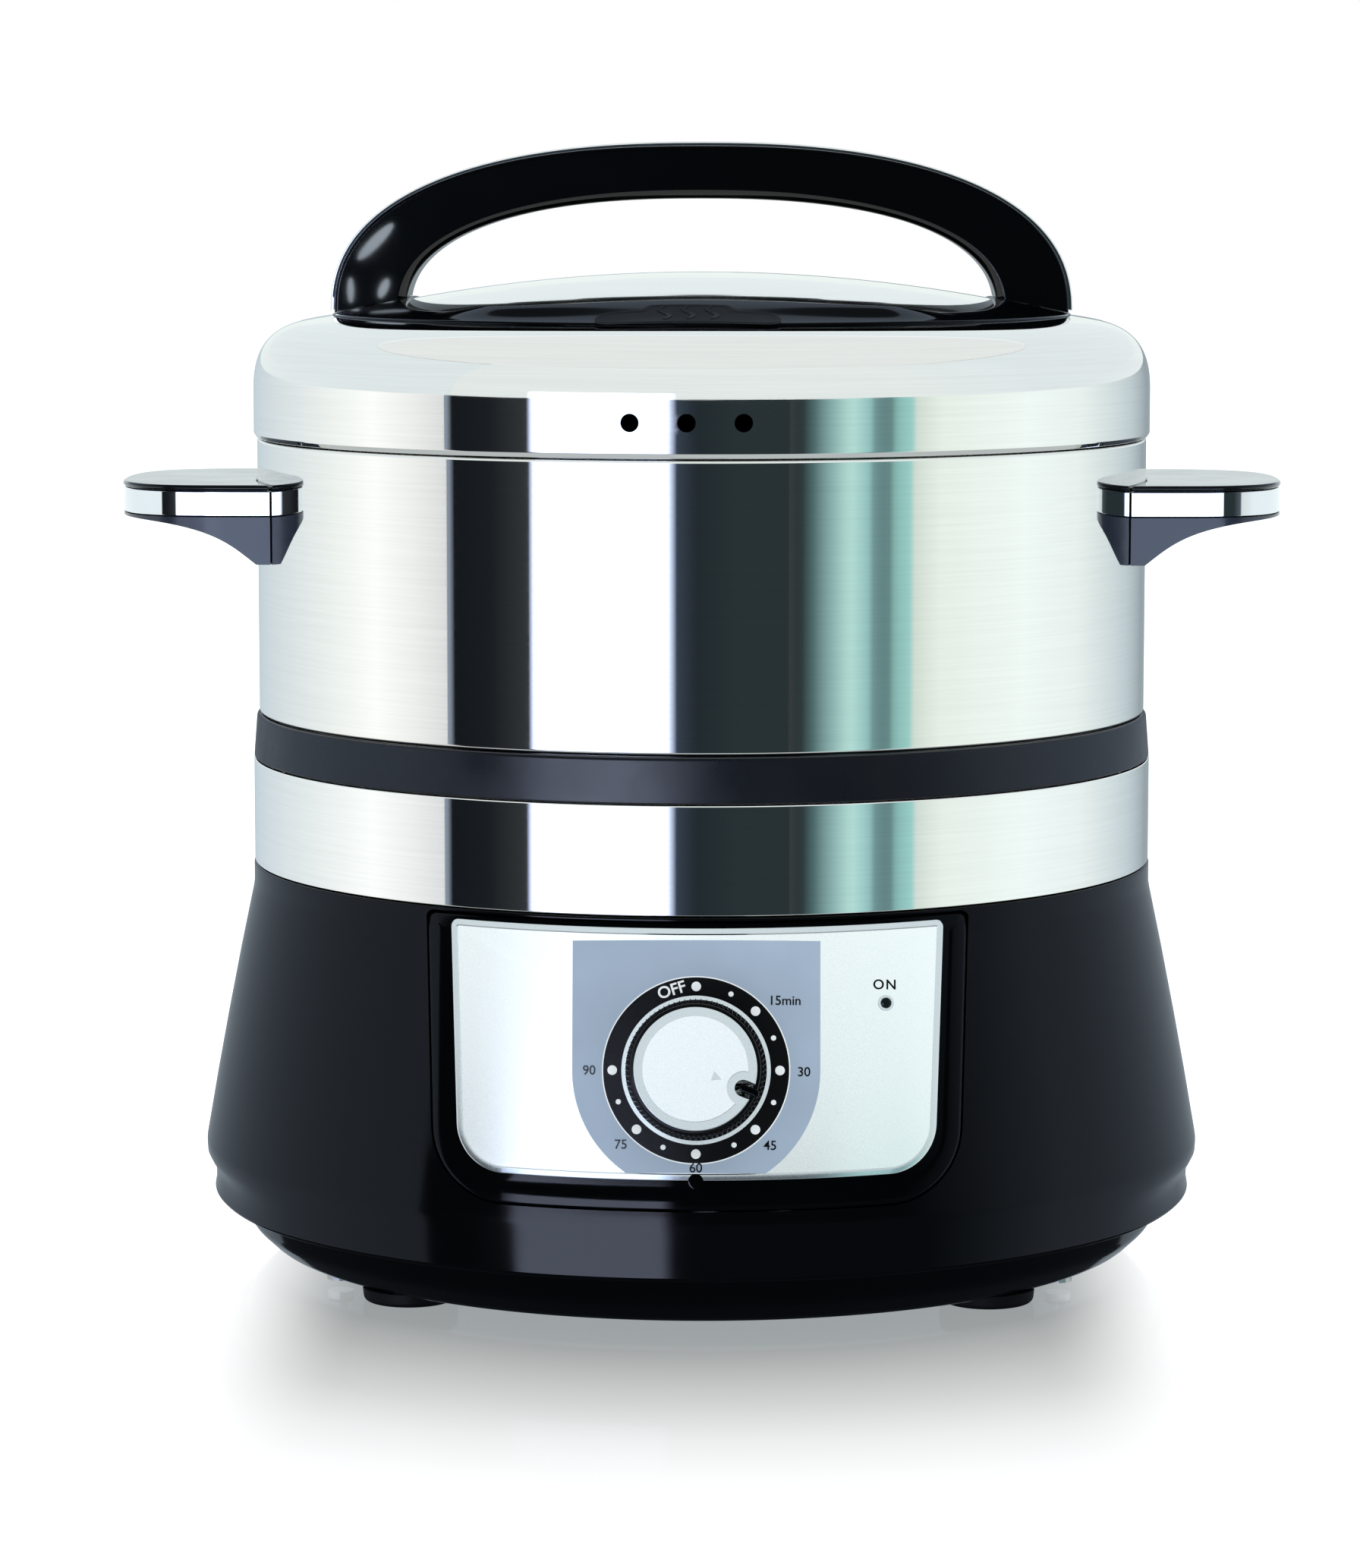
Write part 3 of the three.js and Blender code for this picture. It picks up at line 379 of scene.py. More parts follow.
# What the white cards light, and with them every metal. The black plastics see the dark room, and a few
# of them lights of their own.
BRIGHT = {"white_plastic", "print_zone", "print_white"}
PANEL_BRIGHT = {"silver_plate", "plate_frame", "knob_silver", "print_zone"}


def add_node(tree, kind, inputs=None, **settings):
    """Adds a shader node. inputs gives its sockets their values, or the outputs that they are linked to."""
    node = tree.nodes.new("ShaderNode" + kind)
    for name, value in settings.items():
        setattr(node, name, value)
    for socket, value in (inputs or {}).items():
        if isinstance(value, bpy.types.NodeSocket):
            tree.links.new(value, node.inputs[socket])
        else:
            node.inputs[socket].default_value = value
    return node


def add_range(tree, value, low, high, **settings):
    """How far a value is on its way from a low one to a high one, as 0 to 1."""
    inputs = {"Value": value, "From Min": low, "From Max": high}
    return add_node(tree, "MapRange", inputs, **settings).outputs["Result"]


def add_mix(tree, factor, first, second):
    """The colour between two at a factor."""
    inputs = {"Factor": factor, "A": first, "B": second}
    return add_node(tree, "Mix", inputs, data_type="RGBA").outputs["Result"]


def add_ramp(tree, factor, stops):
    """Colours joined smoothly; stops lists (factor, colour) in order."""
    ramp = add_node(tree, "ValToRGB", {"Fac": factor})
    elements = ramp.color_ramp.elements
    elements.remove(elements[1])
    for number, (spot, color) in enumerate(stops):
        stop = elements.new(spot) if number else elements[0]
        stop.position = spot
        stop.color = (*color, 1)
    return ramp.outputs["Color"]


class Look:
    """A node material under construction: a Principled shader and short names for the usual nodes."""

    def __init__(self, name, color, roughness, metallic=0.0, **sockets):
        self.material = bpy.data.materials.new(name)
        self.material.use_nodes = True
        self.tree = self.material.node_tree
        self.shader = self.tree.nodes["Principled BSDF"]
        sockets |= {"Base Color": (*color, 1), "Roughness": roughness, "Metallic": metallic}
        for socket, value in sockets.items():
            self.shader.inputs[socket.replace("_", " ")].default_value = value
        self.place = add_node(self.tree, "TexCoord").outputs["Object"]
        MATERIALS[name] = self.material

    def drive(self, socket, output):
        """Links an output to one of the shader's sockets."""
        self.tree.links.new(output, self.shader.inputs[socket])

    def noise(self, scale, stretch=(1, 1, 1), detail=3.0):
        """Noise in the object's own space; scale counts features per metre."""
        mapping = add_node(self.tree, "Mapping", {"Vector": self.place, "Scale": stretch})
        inputs = {"Vector": mapping.outputs["Vector"], "Scale": scale, "Detail": detail}
        return add_node(self.tree, "TexNoise", inputs).outputs["Fac"]

    def between(self, factor, low, high):
        """Maps a noise's middle range onto low..high."""
        inputs = {"Value": factor, "From Min": 0.3, "From Max": 0.7, "To Min": low, "To Max": high}
        return add_node(self.tree, "MapRange", inputs).outputs["Result"]

    def vary_color(self, factor, first, second):
        share = self.between(factor, 0.0, 1.0)
        self.drive("Base Color", add_mix(self.tree, share, (*first, 1), (*second, 1)))

    def vary_roughness(self, factor, low, high):
        self.drive("Roughness", self.between(factor, low, high))

    def bump(self, height, strength, distance):
        inputs = {"Height": height, "Strength": strength, "Distance": distance}
        self.drive("Normal", add_node(self.tree, "Bump", inputs).outputs["Normal"])


def plastic(name, color, roughness, grain, level=0.3):
    """Moulded plastic: a fine grain, and a little wear in its gloss and colour."""
    look = Look(name, color, roughness, Specular_IOR_Level=level)
    look.vary_roughness(look.noise(60), roughness * 0.85, roughness * 1.2)
    look.vary_color(look.noise(25), color, [c * 1.25 for c in color])
    look.bump(look.noise(2600, detail=2.0), grain, 0.00005)


def metal(name, color, roughness, stretch, grain, streaks=0.04):
    """Metal with a grain stretched along its polishing; streaks is the grain's share of the tone."""
    look = Look(name, color, roughness, 1.0)
    BRIGHT.add(name)
    lines = look.noise(1.0, stretch, detail=4.0)
    look.vary_roughness(lines, roughness * 0.75, roughness * 1.3)
    look.vary_color(lines, color, [c * (1 - streaks) for c in color])
    look.bump(lines, grain, 0.00002)


AROUND = (22, 22, 1500)  # lines that run round the Z axis

plastic("satin_black", (0.0010, 0.0013, 0.0018), 0.085, 0.015, 0.5)
plastic("collar_grey", (0.0035, 0.0055, 0.010), 0.3, 0.12, 1.0)
plastic("gloss_black", (0.0007, 0.0010, 0.0014), 0.07, 0.01, 0.5)
plastic("cover_black", (0.004, 0.005, 0.006), 0.12, 0.02, 0.5)
plastic("grip_black", (0.0012, 0.0012, 0.0016), 0.34, 0.04, 0.5)
plastic("bracket_black", (0.014, 0.020, 0.034), 0.2, 0.04, 0.5)
plastic("badge_black", (0.011, 0.014, 0.017), 0.42, 0.1, 0.4)
plastic("badge_mark", (0.002, 0.003, 0.004), 0.12, 0.02)
plastic("rubber", (0.004, 0.004, 0.005), 0.6, 0.25)
plastic("white_plastic", (0.74, 0.73, 0.68), 0.42, 0.12, 0.5)
plastic("silicone", (0.40, 0.06, 0.035), 0.5, 0.1)
plastic("phenolic", (0.05, 0.032, 0.025), 0.5, 0.15)
plastic("wire_jacket", (0.62, 0.60, 0.54), 0.7, 0.2)
plastic("lamp_lens", (0.006, 0.011, 0.011), 0.08, 0.02, 0.6)
metal("polished_steel", (0.90, 0.905, 0.89), 0.035, AROUND, 0.10, 0.055)
metal("band_steel", (0.90, 0.91, 0.91), 0.035, AROUND, 0.10, 0.055)
metal("bright_trim", (0.86, 0.87, 0.88), 0.03, (60, 60, 60), 0.0)
metal("silver_plate", (0.93, 0.96, 0.97), 0.28, (5000, 5000, 5000), 0.03)
metal("plate_frame", (0.62, 0.67, 0.70), 0.16, (2500, 2500, 2500), 0.03)
metal("knob_silver", (0.90, 0.93, 0.95), 0.26, (5000, 5000, 5000), 0.03)
metal("heater_metal", (0.48, 0.49, 0.50), 0.38, (500, 500, 500), 0.3)
metal("zinc_steel", (0.42, 0.43, 0.44), 0.34, (300, 300, 300), 0.2)
metal("brass", (0.58, 0.39, 0.13), 0.30, (300, 300, 300), 0.15)
plastic("print_zone", (0.29, 0.375, 0.49), 0.34, 0.02, 0.5)
plastic("print_black", (0.004, 0.005, 0.006), 0.26, 0.02, 0.4)
plastic("print_grey", (0.030, 0.040, 0.060), 0.40, 0.02, 0.4)
plastic("print_white", (0.80, 0.86, 0.89), 0.35, 0.02, 0.5)

lit = bpy.data.collections.new("lit_by_the_cards")
lit_handles = bpy.data.collections.new("lit_by_the_handle_card")
lit_arch = bpy.data.collections.new("lit_by_the_glints")
lit_panel = bpy.data.collections.new("lit_by_the_panel_card")


# ---- base
def shell_radius(z):
    """Outer radius of the housing's cone at a height; the control panel follows it to its top."""
    (foot_r, foot_z), (top_r, top_z) = CONE_FOOT, CONE_TOP
    t = (z - foot_z) / (top_z - foot_z)
    return foot_r + (top_r - foot_r) * t + 4 * CONE_BULGE * t * (1 - t)


def scooped(radius, height, angle):
    """Takes the two finger scoops, low on the left and right, out of the housing."""
    from_side = abs(degrees(acos(min(1.0, abs(sin(angle))))))
    across = 1 - smoothstep(16.0, 38.0, from_side)
    upwards = 1 - smoothstep(24.5, 29.3, height)
    towards_foot = 1 - 0.45 * (1 - smoothstep(17.0, 22.0, height))
    is_wall = radius > 118
    return radius - SCOOP_DEPTH * across * upwards * towards_foot * is_wall, height


def panel_outline(side, below, above=0.0):
    """The control panel's outline with borders, as a function of an inset."""

    def outline(inset):
        low, high = PLATE_HALF_W[0] + side - inset, PLATE_HALF_W[1] + side - inset
        bottom, top = PLATE_V[0] - below + inset, PLATE_V[1] + above - inset
        corner = max(PLATE_CORNER + side - inset, 1.0)
        head = max(2.0 - inset, 0.4)
        corners = [(-low, bottom, corner), (low, bottom, corner), (high, top, head), (-high, top, head)]
        return evenly(rounded(corners, turn=5.0))

    return outline


def evenly(line):
    """Adds points on the long straight stretches: the same number on every inset of one outline."""
    made = []
    for i, here in enumerate(line):
        after = line[(i + 1) % len(line)]
        made.append(here)
        if (after - here).length > 12:
            made += [here.lerp(after, k / 20) for k in range(1, 20)]
    return made


def on_panel(x, v, height=0.0):
    """A point of the control panel: x across, v up the slope from the dial, height out of the housing."""
    up = Vector((0, sin(SLOPE), cos(SLOPE)))
    out = Vector((0, -cos(SLOPE), sin(SLOPE)))
    point = DIAL + Vector((x, 0, 0)) + up * v
    for _ in range(14):
        point -= out * (hypot(point.x, point.y) - shell_radius(point.z))
    flat = Vector((point.x, point.y, 0)).normalized()
    return point + (flat * cos(SLOPE) + Vector((0, 0, sin(SLOPE)))) * height


def on_seam(x, v, height=0.0):
    """Like on_panel, but a line of one v stays at one height, parallel to the housing's top seam."""
    z = DIAL.z + v * cos(SLOPE)
    radius = shell_radius(z) + height * cos(SLOPE)
    return Vector((x, -sqrt(radius**2 - x**2), z + height * sin(SLOPE)))


PANEL_FRAME = Matrix.Translation(DIAL) @ Matrix.Rotation(pi / 2 - SLOPE, 4, "X")
GLAND_FRAME = Matrix.Translation((0, 0, GLAND_Z)) @ Matrix.Rotation(-pi / 2, 4, "X")


def make_base():
    low_r, low_z = SHELL_BOTTOM
    cone = [(shell_radius(z), z) for z in (50.0, 67.0, 84.0)]
    outer = [(low_r, low_z, 1.2), (*CONE_FOOT, 8.0), *cone, (*CONE_TOP, 12.0)]
    inner = [(r - PLASTIC, z) for r, z, *_ in reversed(outer)]
    rim = (BAND_R + 0.2, SHELL_TOP_Z, 0.6)
    under = SHELL_TOP_Z - PLASTIC
    flange = [(114.6, SHELL_TOP_Z), (114.6, under), (CONE_TOP[0] - PLASTIC, under)]
    shell = turned([*outer, rim, *flange, *inner], 320, scooped, step=2.2)
    window = panel_outline(BEZEL_BORDER[0] + 0.3, BEZEL_BORDER[1] + 0.3, BEZEL_HEAD + 0.2)
    cutter = patch(window, on_seam, [(0.0, 4.0)], -6.0, 6)
    shell = carve(shell, cutter)
    gland_hole = extruded(circle(6.4), 122, 145, GLAND_FRAME)
    piece(carve(shell, gland_hole), "housing", "satin_black", "base", ["base_housing"], sharp=40)

    tray = turned(
        [
            (0, TRAY_Z), (117.2, TRAY_Z, 7.0), (123.6, TRAY_Z + 6.0, 8.0),
            (126.9, low_z + 0.2, 0.5), (131.0, low_z + 0.2), (131.0, low_z + 2.2),
            (124.2, low_z + 2.2), (120.5, TRAY_Z + 6.6, 6.0), (114.0, TRAY_Z + 2.2),
            (0, TRAY_Z + 2.2),
        ]
    )
    for x in (-20, 0, 20):
        tray = carve(tray, extruded(slot(11, 3, 8, 55, x), 0, 12))
    piece(tray, "tray", "satin_black", "base", ["bottom_tray"])

    for end in ("front", "rear"):
        for side in ("left", "right"):
            node = f"foot_{end}_{side}"
            low, high = span(node)
            middle, radius = (low + high) / 2, (high.x - low.x) / 2
            top = TRAY_Z - 0.05
            sole = [(0, 0.6), (radius - 4, 0.6), (radius - 3.2, 0, 0.4), (radius - 0.4, 0, 1.5)]
            pad = [*sole, (radius, top, 0.3), (0, top)]
            made = turned(pad, 64, matrix=Matrix.Translation((middle.x, middle.y, 0)))
            piece(made, f"rubber_{node}", "rubber", "base", [node])

    low, high = BAND_Z
    band = [(BAND_R - 0.9, low), (BAND_R, low, 0.35), (BAND_R, high, 0.35), (BAND_R - 0.9, high)]
    piece(turned(band), "band", "band_steel", "base", ["steel_band"])
    low, high = COLLAR_Z
    shelf = high - 6.2
    collar = [
        (BAND_R - 0.05, low, 0.5), (BAND_R - 0.95, high, 1.1), (118.3, high, 0.5),
        (118.0, shelf, 0.5), (112.2, shelf, 0.5), (112.2, shelf - 2), (119.0, shelf - 2),
        (119.0, low),
    ]
    piece(turned(collar), "collar", "collar_grey", "base", ["collar_ring"])


def make_water_bowl():
    floor_z, rim_z = [corner.z for corner in span("water_reservoir")]
    bowl = [
        (34.5, floor_z), (86.0, floor_z, 6.0), (86.0, 99.0, 6.0), (113.5, 112.0, 6.0),
        (113.5, rim_z - 2), (118.4, rim_z - 2), (118.4, rim_z, 0.6), (111.5, rim_z, 0.8),
        (111.5, 113.0, 5.0), (84.0, 100.2, 5.0), (84.0, floor_z + 2.5, 5.0),
        (34.5, floor_z + 2.5, 0.6),
    ]
    piece(turned(bowl), "water_bowl", "white_plastic", "base", ["water_reservoir"])
    top = span("heating_plate")[1].z
    plate = [
        (0, top - 16), (33.6, top - 16), (33.6, top - 6), (41, top - 6, 0.4), (41, top - 4.5, 0.6),
        (30, top - 3.6, 1.2), (26, top - 0.4, 1.6), (19, top - 0.2, 0.5), (18.3, top - 0.8, 0.4),
        (17.6, top - 0.1, 0.5), (0, top),
    ]
    piece(turned(plate, 128), "hot_plate", "heater_metal", "base", ["heating_plate"])


# ---- control panel
def round_outline(radius, centre):
    """A circle as a function of an inset."""
    hub = Vector(centre)
    rim = circle(radius, centre, 40)
    return lambda inset: [hub + (p - hub) * (1 - inset / radius) for p in rim]


def panel_disc(radius, centre, height, top=0.01):
    """A print or a small round part on the panel's face."""
    edge = [(0.0, height), (0.03, height + top)]
    return patch(round_outline(radius, centre), on_panel, edge, PLATE_FACE - 0.05, 4, centre)


def panel_ring(inner, outer, height):
    """A printed ring round the dial, which follows the panel's curve."""
    steps = ceil((outer - inner) / 1.5)
    top = [(inner + (outer - inner) * k / steps, height) for k in range(steps + 1)]
    rows = [(inner, PLATE_FACE - 0.05), *top, (outer, PLATE_FACE - 0.05)]
    loops = [[on_panel(p.x, p.y, level) for p in circle(radius, sides=160)] for radius, level in rows]
    return lofted(loops, closed=True)


def label(text, size, x, v, name, material, turn=0.0, spread=1.0, bold=0.0, height=0.0):
    """Plain lettering, as a thin raised print on the panel's face."""
    curve = bpy.data.curves.new("text", "FONT")
    curve.body = text
    curve.size = size
    curve.align_x = "CENTER"
    curve.align_y = "CENTER"
    curve.space_character = spread
    curve.offset = bold
    curve.extrude = 0.5
    curve.resolution_u = 6
    holder = bpy.data.objects.new("text", curve)
    scene.collection.objects.link(holder)
    mesh = applied(holder)
    bpy.data.objects.remove(holder)
    spin = Matrix.Rotation(turn, 2)
    verts = []
    for vertex in mesh.vertices:
        flat = spin @ Vector((vertex.co.x, vertex.co.y))
        level = PLATE_FACE + height + (0.06 if vertex.co.z > 0 else -0.03)
        verts.append(on_panel(x + flat.x, v + flat.y, level))
    faces = [list(face.vertices) for face in mesh.polygons]
    piece(mesh_object(verts, faces), name, material, "base", sharp=20)


def printed(made, name, material):
    """A print or trim of the panel, in the material it is given."""
    piece(made, name, material, "base")


def make_panel():
    outline = panel_outline(*BEZEL_BORDER, BEZEL_HEAD)
    edge = [(0.0, -0.7), (0.1, -0.3), (0.35, -0.05), (0.9, 0.1), (3.6, 0.15), (4.4, -0.1), (4.9, -0.2)]
    piece(patch(outline, on_seam, edge, -2.4, 24), "bezel", "gloss_black", "base", ["panel_bezel"])

    outline = panel_outline(0.0, 0.0)
    edge = [(0.0, 0.2), (0.1, 0.5), (0.35, 0.62), (1.45, 0.62), (1.75, PLATE_FACE), (2.0, PLATE_FACE)]
    plate = piece(patch(outline, on_seam, edge, -0.15, 24), "plate", "silver_plate", "base", ["panel_plate"])
    plate.data.materials.append(MATERIALS["plate_frame"])
    in_a_ring = len(outline(0.0))
    border_rings = range(4, 9)  # the rings of faces that make the raised border
    for number, face in enumerate(plate.data.polygons):
        face.material_index = int(number // in_a_ring in border_rings)

    def zone(inset):
        half, top, bottom = 31.0 - inset, PLATE_V[1] - 2.9 - inset, PLATE_V[0] + 1.95 + inset
        steps = 60
        start = asin(bottom / half)
        turns = [start * (1 - k / steps) for k in range(steps + 1)]
        bowl = [Vector((half * cos(a), half * sin(a))) for a in turns]
        left = [Vector((-p.x, p.y)) for p in reversed(bowl)]
        line = [*bowl, Vector((half, top)), Vector((-half, top)), *left]
        return evenly(line)

    edge = [(0.0, PLATE_FACE + 0.02), (0.03, PLATE_FACE + 0.03)]
    made = patch(zone, on_panel, edge, PLATE_FACE - 0.05, 20, (0, 0.1))
    printed(made, "dial_field", "print_zone")
    level = PLATE_FACE + 0.07
    printed(panel_ring(15.0, 23.2, level), "dial_band", "print_black")
    printed(panel_ring(23.2, 23.5, level), "dial_rim", "print_white")
    printed(panel_ring(17.6, 18.6, level + 0.12), "dial_seat", "plate_frame")
    dots = [(45 * k, 1.2) for k in range(7)] + [(a, 0.66) for a in (24.5, 67.2, 112.5, 153, 203, 247.8)]
    for number, (turn, radius) in enumerate(dots):
        clockwise = radians(turn)
        centre = (20.9 * sin(clockwise), 20.9 * cos(clockwise))
        made = panel_disc(radius, centre, level + 0.05)
        printed(made, f"dial_dot_{number}", "print_white")
    label("OFF", 4.1, -6.1, 19.9, "dial_off", "print_white", turn=radians(17), bold=0.07, height=0.08)
    for text, x, v, ink in (
        ("15min", 22.1, 17.4, "print_black"), ("30", 26.9, -0.4, "print_black"),
        ("45", 18.5, -18.8, "print_black"), ("60", 0.0, -24.45, "print_black"),
        ("75", -18.7, -18.6, "print_grey"), ("90", -26.7, -0.1, "print_grey"),
    ):
        label(text, 3.3, x, v, f"dial_{text}", ink, bold=0.02, height=0.06)
    label("ON", 3.5, LAMP_AT[0] - 0.3, LAMP_AT[1] + 4.5, "lamp_label", "print_black", spread=1.2, bold=0.05)
    piece(panel_disc(1.9, (0.0, PLATE_V[0] - 0.1), 0.66), "plate_notch", "gloss_black", "base")
    printed(panel_disc(2.0, LAMP_AT, 0.42, 0.05), "lamp_seat", "plate_frame")
    dome = [(0.0, 0.45), (0.1, 0.75), (0.35, 1.0), (0.7, 1.15)]
    lens = patch(round_outline(1.4, LAMP_AT), on_panel, dome, -2.0, 3, LAMP_AT)
    piece(lens, "lamp_glass", "lamp_lens", "base", ["lamp_lens"])


def make_knob():
    face = KNOB_FACE

    def ribbed(radius, height, angle):
        depth = 0.85 * smoothstep(16.3, 17.2, radius) * abs(sin(KNOB_RIBS / 2 * angle))
        return radius - depth, height

    skirt = [
        (2.5, 2.2), (17.6, 2.2, 0.2), (17.5, 13.6, 0.25), (16.3, 13.6, 0.3),
        (16.15, face - 0.9, 0.5), (14.9, face - 0.7, 0.3), (14.9, face - 3.0), (2.5, face - 3.0),
    ]
    made = turned(skirt, KNOB_RIBS * 8, ribbed, PANEL_FRAME)
    piece(made, "knob_grip", "grip_black", "knob", ["knob_skirt"], sharp=50)

    place = PANEL_FRAME @ Matrix.Rotation(POINTER, 4, "Z")
    cap = extruded(circle(15.3, sides=180), face - 3.0, face - 0.25, place)
    cap = carve(cap, extruded(slot(4.8, 1.9, 12, 15.6), face - 6, face + 3, place))
    piece(cap, "knob_cap_rim", "plate_frame", "knob", ["knob_cap"], bevel=0.35)
    disc = extruded(circle(13.1, sides=180), face - 0.6, face, place)
    disc = carve(disc, extruded(circle(4.15, (0, 12.9), 64), face - 3, face + 3, place))
    piece(disc, "knob_face", "knob_silver", "knob", bevel=0.15)

    bed = extruded(slot(2.75, 1.7, 16, 13.7), face - 3.2, face - 0.9, place)
    piece(bed, "pointer_bed", "gloss_black", "knob", bevel=0.4)
    finger = extruded(slot(2.6, 0.95, 16, 14.3), face - 3.2, face + 0.05, place)
    piece(finger, "pointer", "gloss_black", "knob", bevel=0.45)
    arrow = extruded([(-1.25, 4.6), (1.25, 4.6), (0, 7.0)], face - 0.05, face + 0.04, place)
    piece(arrow, "knob_arrow", "plate_frame", "knob")


def make_gland():
    reach = span("cord_gland")[1].y
    wall = CONE_FOOT[0]
    body = [
        (3.9, wall - 9), (6.1, wall - 9, 0.4), (6.1, wall + 0.2), (9.0, wall + 0.2, 0.5),
        (9.0, wall + 3.0, 0.9), (7.5, wall + 3.2, 0.5), (7.2, wall + 5.4, 0.4),
        (6.6, wall + 5.6, 0.3), (6.5, wall + 7.2, 0.3), (7.0, wall + 7.4, 0.4),
        (6.7, wall + 9.4, 0.4), (6.1, wall + 9.6, 0.3), (5.8, reach, 0.7), (3.9, reach, 0.5),
    ]
    piece(turned(body, 64, matrix=GLAND_FRAME), "gland", "rubber", "base", ["cord_gland"])


# ---- pot
def make_pot():
    seat = COLLAR_Z[1] + 0.3
    wall_in = POT_R - 0.9
    step = COLLAR_Z[1] - 5.9
    low, high = POT_FLOOR_Z, POT_FLOOR_Z + 1.1
    body = [
        (100.0, low - 1.3), (111.2, low - 1.3, 1.2), (111.2, step, 1.0), (117.4, step, 0.8),
        (117.6, seat), (POT_R, seat, 0.9), (POT_R, RIM_Z, 0.8), (POT_R - 2.4, RIM_Z, 0.9),
        (POT_R - 2.4, RIM_Z - 2.0, 0.5), (wall_in, RIM_Z - 3.0, 0.8), (wall_in, seat + 1.2, 0.8),
        (116.5, seat + 0.9, 0.5), (116.3, step + 1.0, 0.8), (110.3, step + 1.0, 0.8),
        (110.3, low - 0.3, 0.5), (100.0, low - 0.3),
    ]
    piece(turned(body, 320), "pot", "polished_steel", "pot", ["steamer_pot"])
    floor = turned([(0, low), (109.8, low, 0.4), (109.8, high, 0.4), (0, high)], 128)
    holes = [polar(radius, 2 * pi * i / count) for count, radius in HOLE_RINGS for i in range(count)]
    floor = drilled(floor, holes, 3.0, 20, low - 1, high + 1.9)
    piece(floor, "pot_floor", "polished_steel", "pot", ["perforated_floor"])
    for side in ("left", "right"):
        make_side_handle(side)


def handle_plan(inset=0.0):
    """A side handle seen from above: a rounded tongue that hugs the pot."""
    half, reach = SIDE_HALF_W - inset, SIDE_REACH - inset
    hug = POT_R + 0.25
    start = asin(half / hug)
    steps = 24
    arc = [start - 2 * start * k / steps for k in range(steps + 1)]
    inner = [Vector((hug * cos(a), hug * sin(a))) for a in arc]
    bend = Vector((SIDE_BEND_X, 0))
    turns = [pi * (k / 40 - 0.5) for k in range(41)]
    return inner + [bend + superellipse(a, reach - SIDE_BEND_X, half, SIDE_POWER) for a in turns]


def make_side_handle(side):
    flip = Matrix.Scale(-1, 4, (1, 0, 0)) if side == "left" else Matrix.Identity(4)
    low, high = SIDE_BAND_Z
    cover = extruded(handle_plan(), high + 0.15, SIDE_TOP_Z, flip)
    nodes = [f"side_handle_cover_{side}"]
    piece(cover, f"handle_cover_{side}", "cover_black", "pot", nodes, bevel=0.7)
    band = extruded(handle_plan(0.3), low, high, flip)
    piece(band, f"handle_band_{side}", "bright_trim", "pot", [f"side_handle_band_{side}"], bevel=0.25)
    lit.objects.unlink(band)

    foot = (117.4, SIDE_FOOT_Z)
    knots = [foot, (124.5, 195.8), (130, 202.0), (158, 202.2)]
    curve = [bezier(knots, k / 20) for k in range(1, 21)]
    profile = [(105, SIDE_FOOT_Z), foot, *curve, (158, low - 0.2), (105, low - 0.2)]
    wedge = extruded(profile, -60, 60, Matrix.Rotation(pi / 2, 4, "X"))
    bracket = carve(extruded(handle_plan(0.2), SIDE_FOOT_Z - 1, low - 0.2), wedge, "INTERSECT")
    bracket.data.transform(flip)
    if side == "left":
        bracket.data.flip_normals()
    nodes = [f"side_handle_bracket_{side}"]
    piece(bracket, f"handle_bracket_{side}", "bracket_black", "pot", nodes, bevel=0.6)
    for made in (cover, band, bracket):
        lit_handles.objects.link(made)


# ---- egg rack
def make_rack():
    low, high = span("egg_plate")
    plate_z = high.z - 1.6
    radius = high.x
    lip = high.z + 0.8
    plate = [
        (4.0, plate_z), (radius - 0.6, plate_z, 0.8), (radius, lip, 0.7), (radius - 1.6, lip, 0.7),
        (radius - 2.2, high.z, 0.8), (4.0, high.z),
    ]
    eggs = [polar(EGG_RING_R, radians(60 * i)) for i in range(6)]
    plate = drilled(turned(plate, 160), eggs, EGG_HOLE_R, 72, plate_z - 3, plate_z + 6)
    for turn in (30, 150, 270):
        leg = circle(LEG_R, polar(LEG_RING_R, radians(turn)), 32)
        plate = carve(plate, extruded(leg, low.z, plate_z + 0.6), "UNION")
    piece(plate, "egg_tray", "white_plastic", "rack", ["egg_plate"], bevel=0.4)
    low, high = span("rack_post")
    post = [
        (0, low.z), (9, low.z, 0.5), (9, low.z + 2, 0.7), (3.6, low.z + 2.6, 1.0),
        (3.6, plate_z - 2.4, 0.5), (7, plate_z - 2.0, 0.4), (7, plate_z - 0.3, 0.3),
        (3.6, plate_z - 0.3), (3.6, plate_z + 1.9), (6.5, plate_z + 1.9, 0.4),
        (6.5, plate_z + 4, 0.7), (3.6, plate_z + 4.4, 0.6), (3.6, high.z), (0, high.z),
    ]
    piece(turned(post, 48), "rack_stem", "polished_steel", "rack", ["rack_post"])
    low, high = span("rack_knob")
    grip = [
        (0, low.z), (8, low.z, 1.0), (11, low.z + 2.7, 2.0), (11, high.z - 3.8, 2.0),
        (8.5, high.z - 0.8, 1.5), (0, high.z),
    ]
    piece(turned(grip, 64), "rack_grip", "gloss_black", "rack", ["rack_knob"])


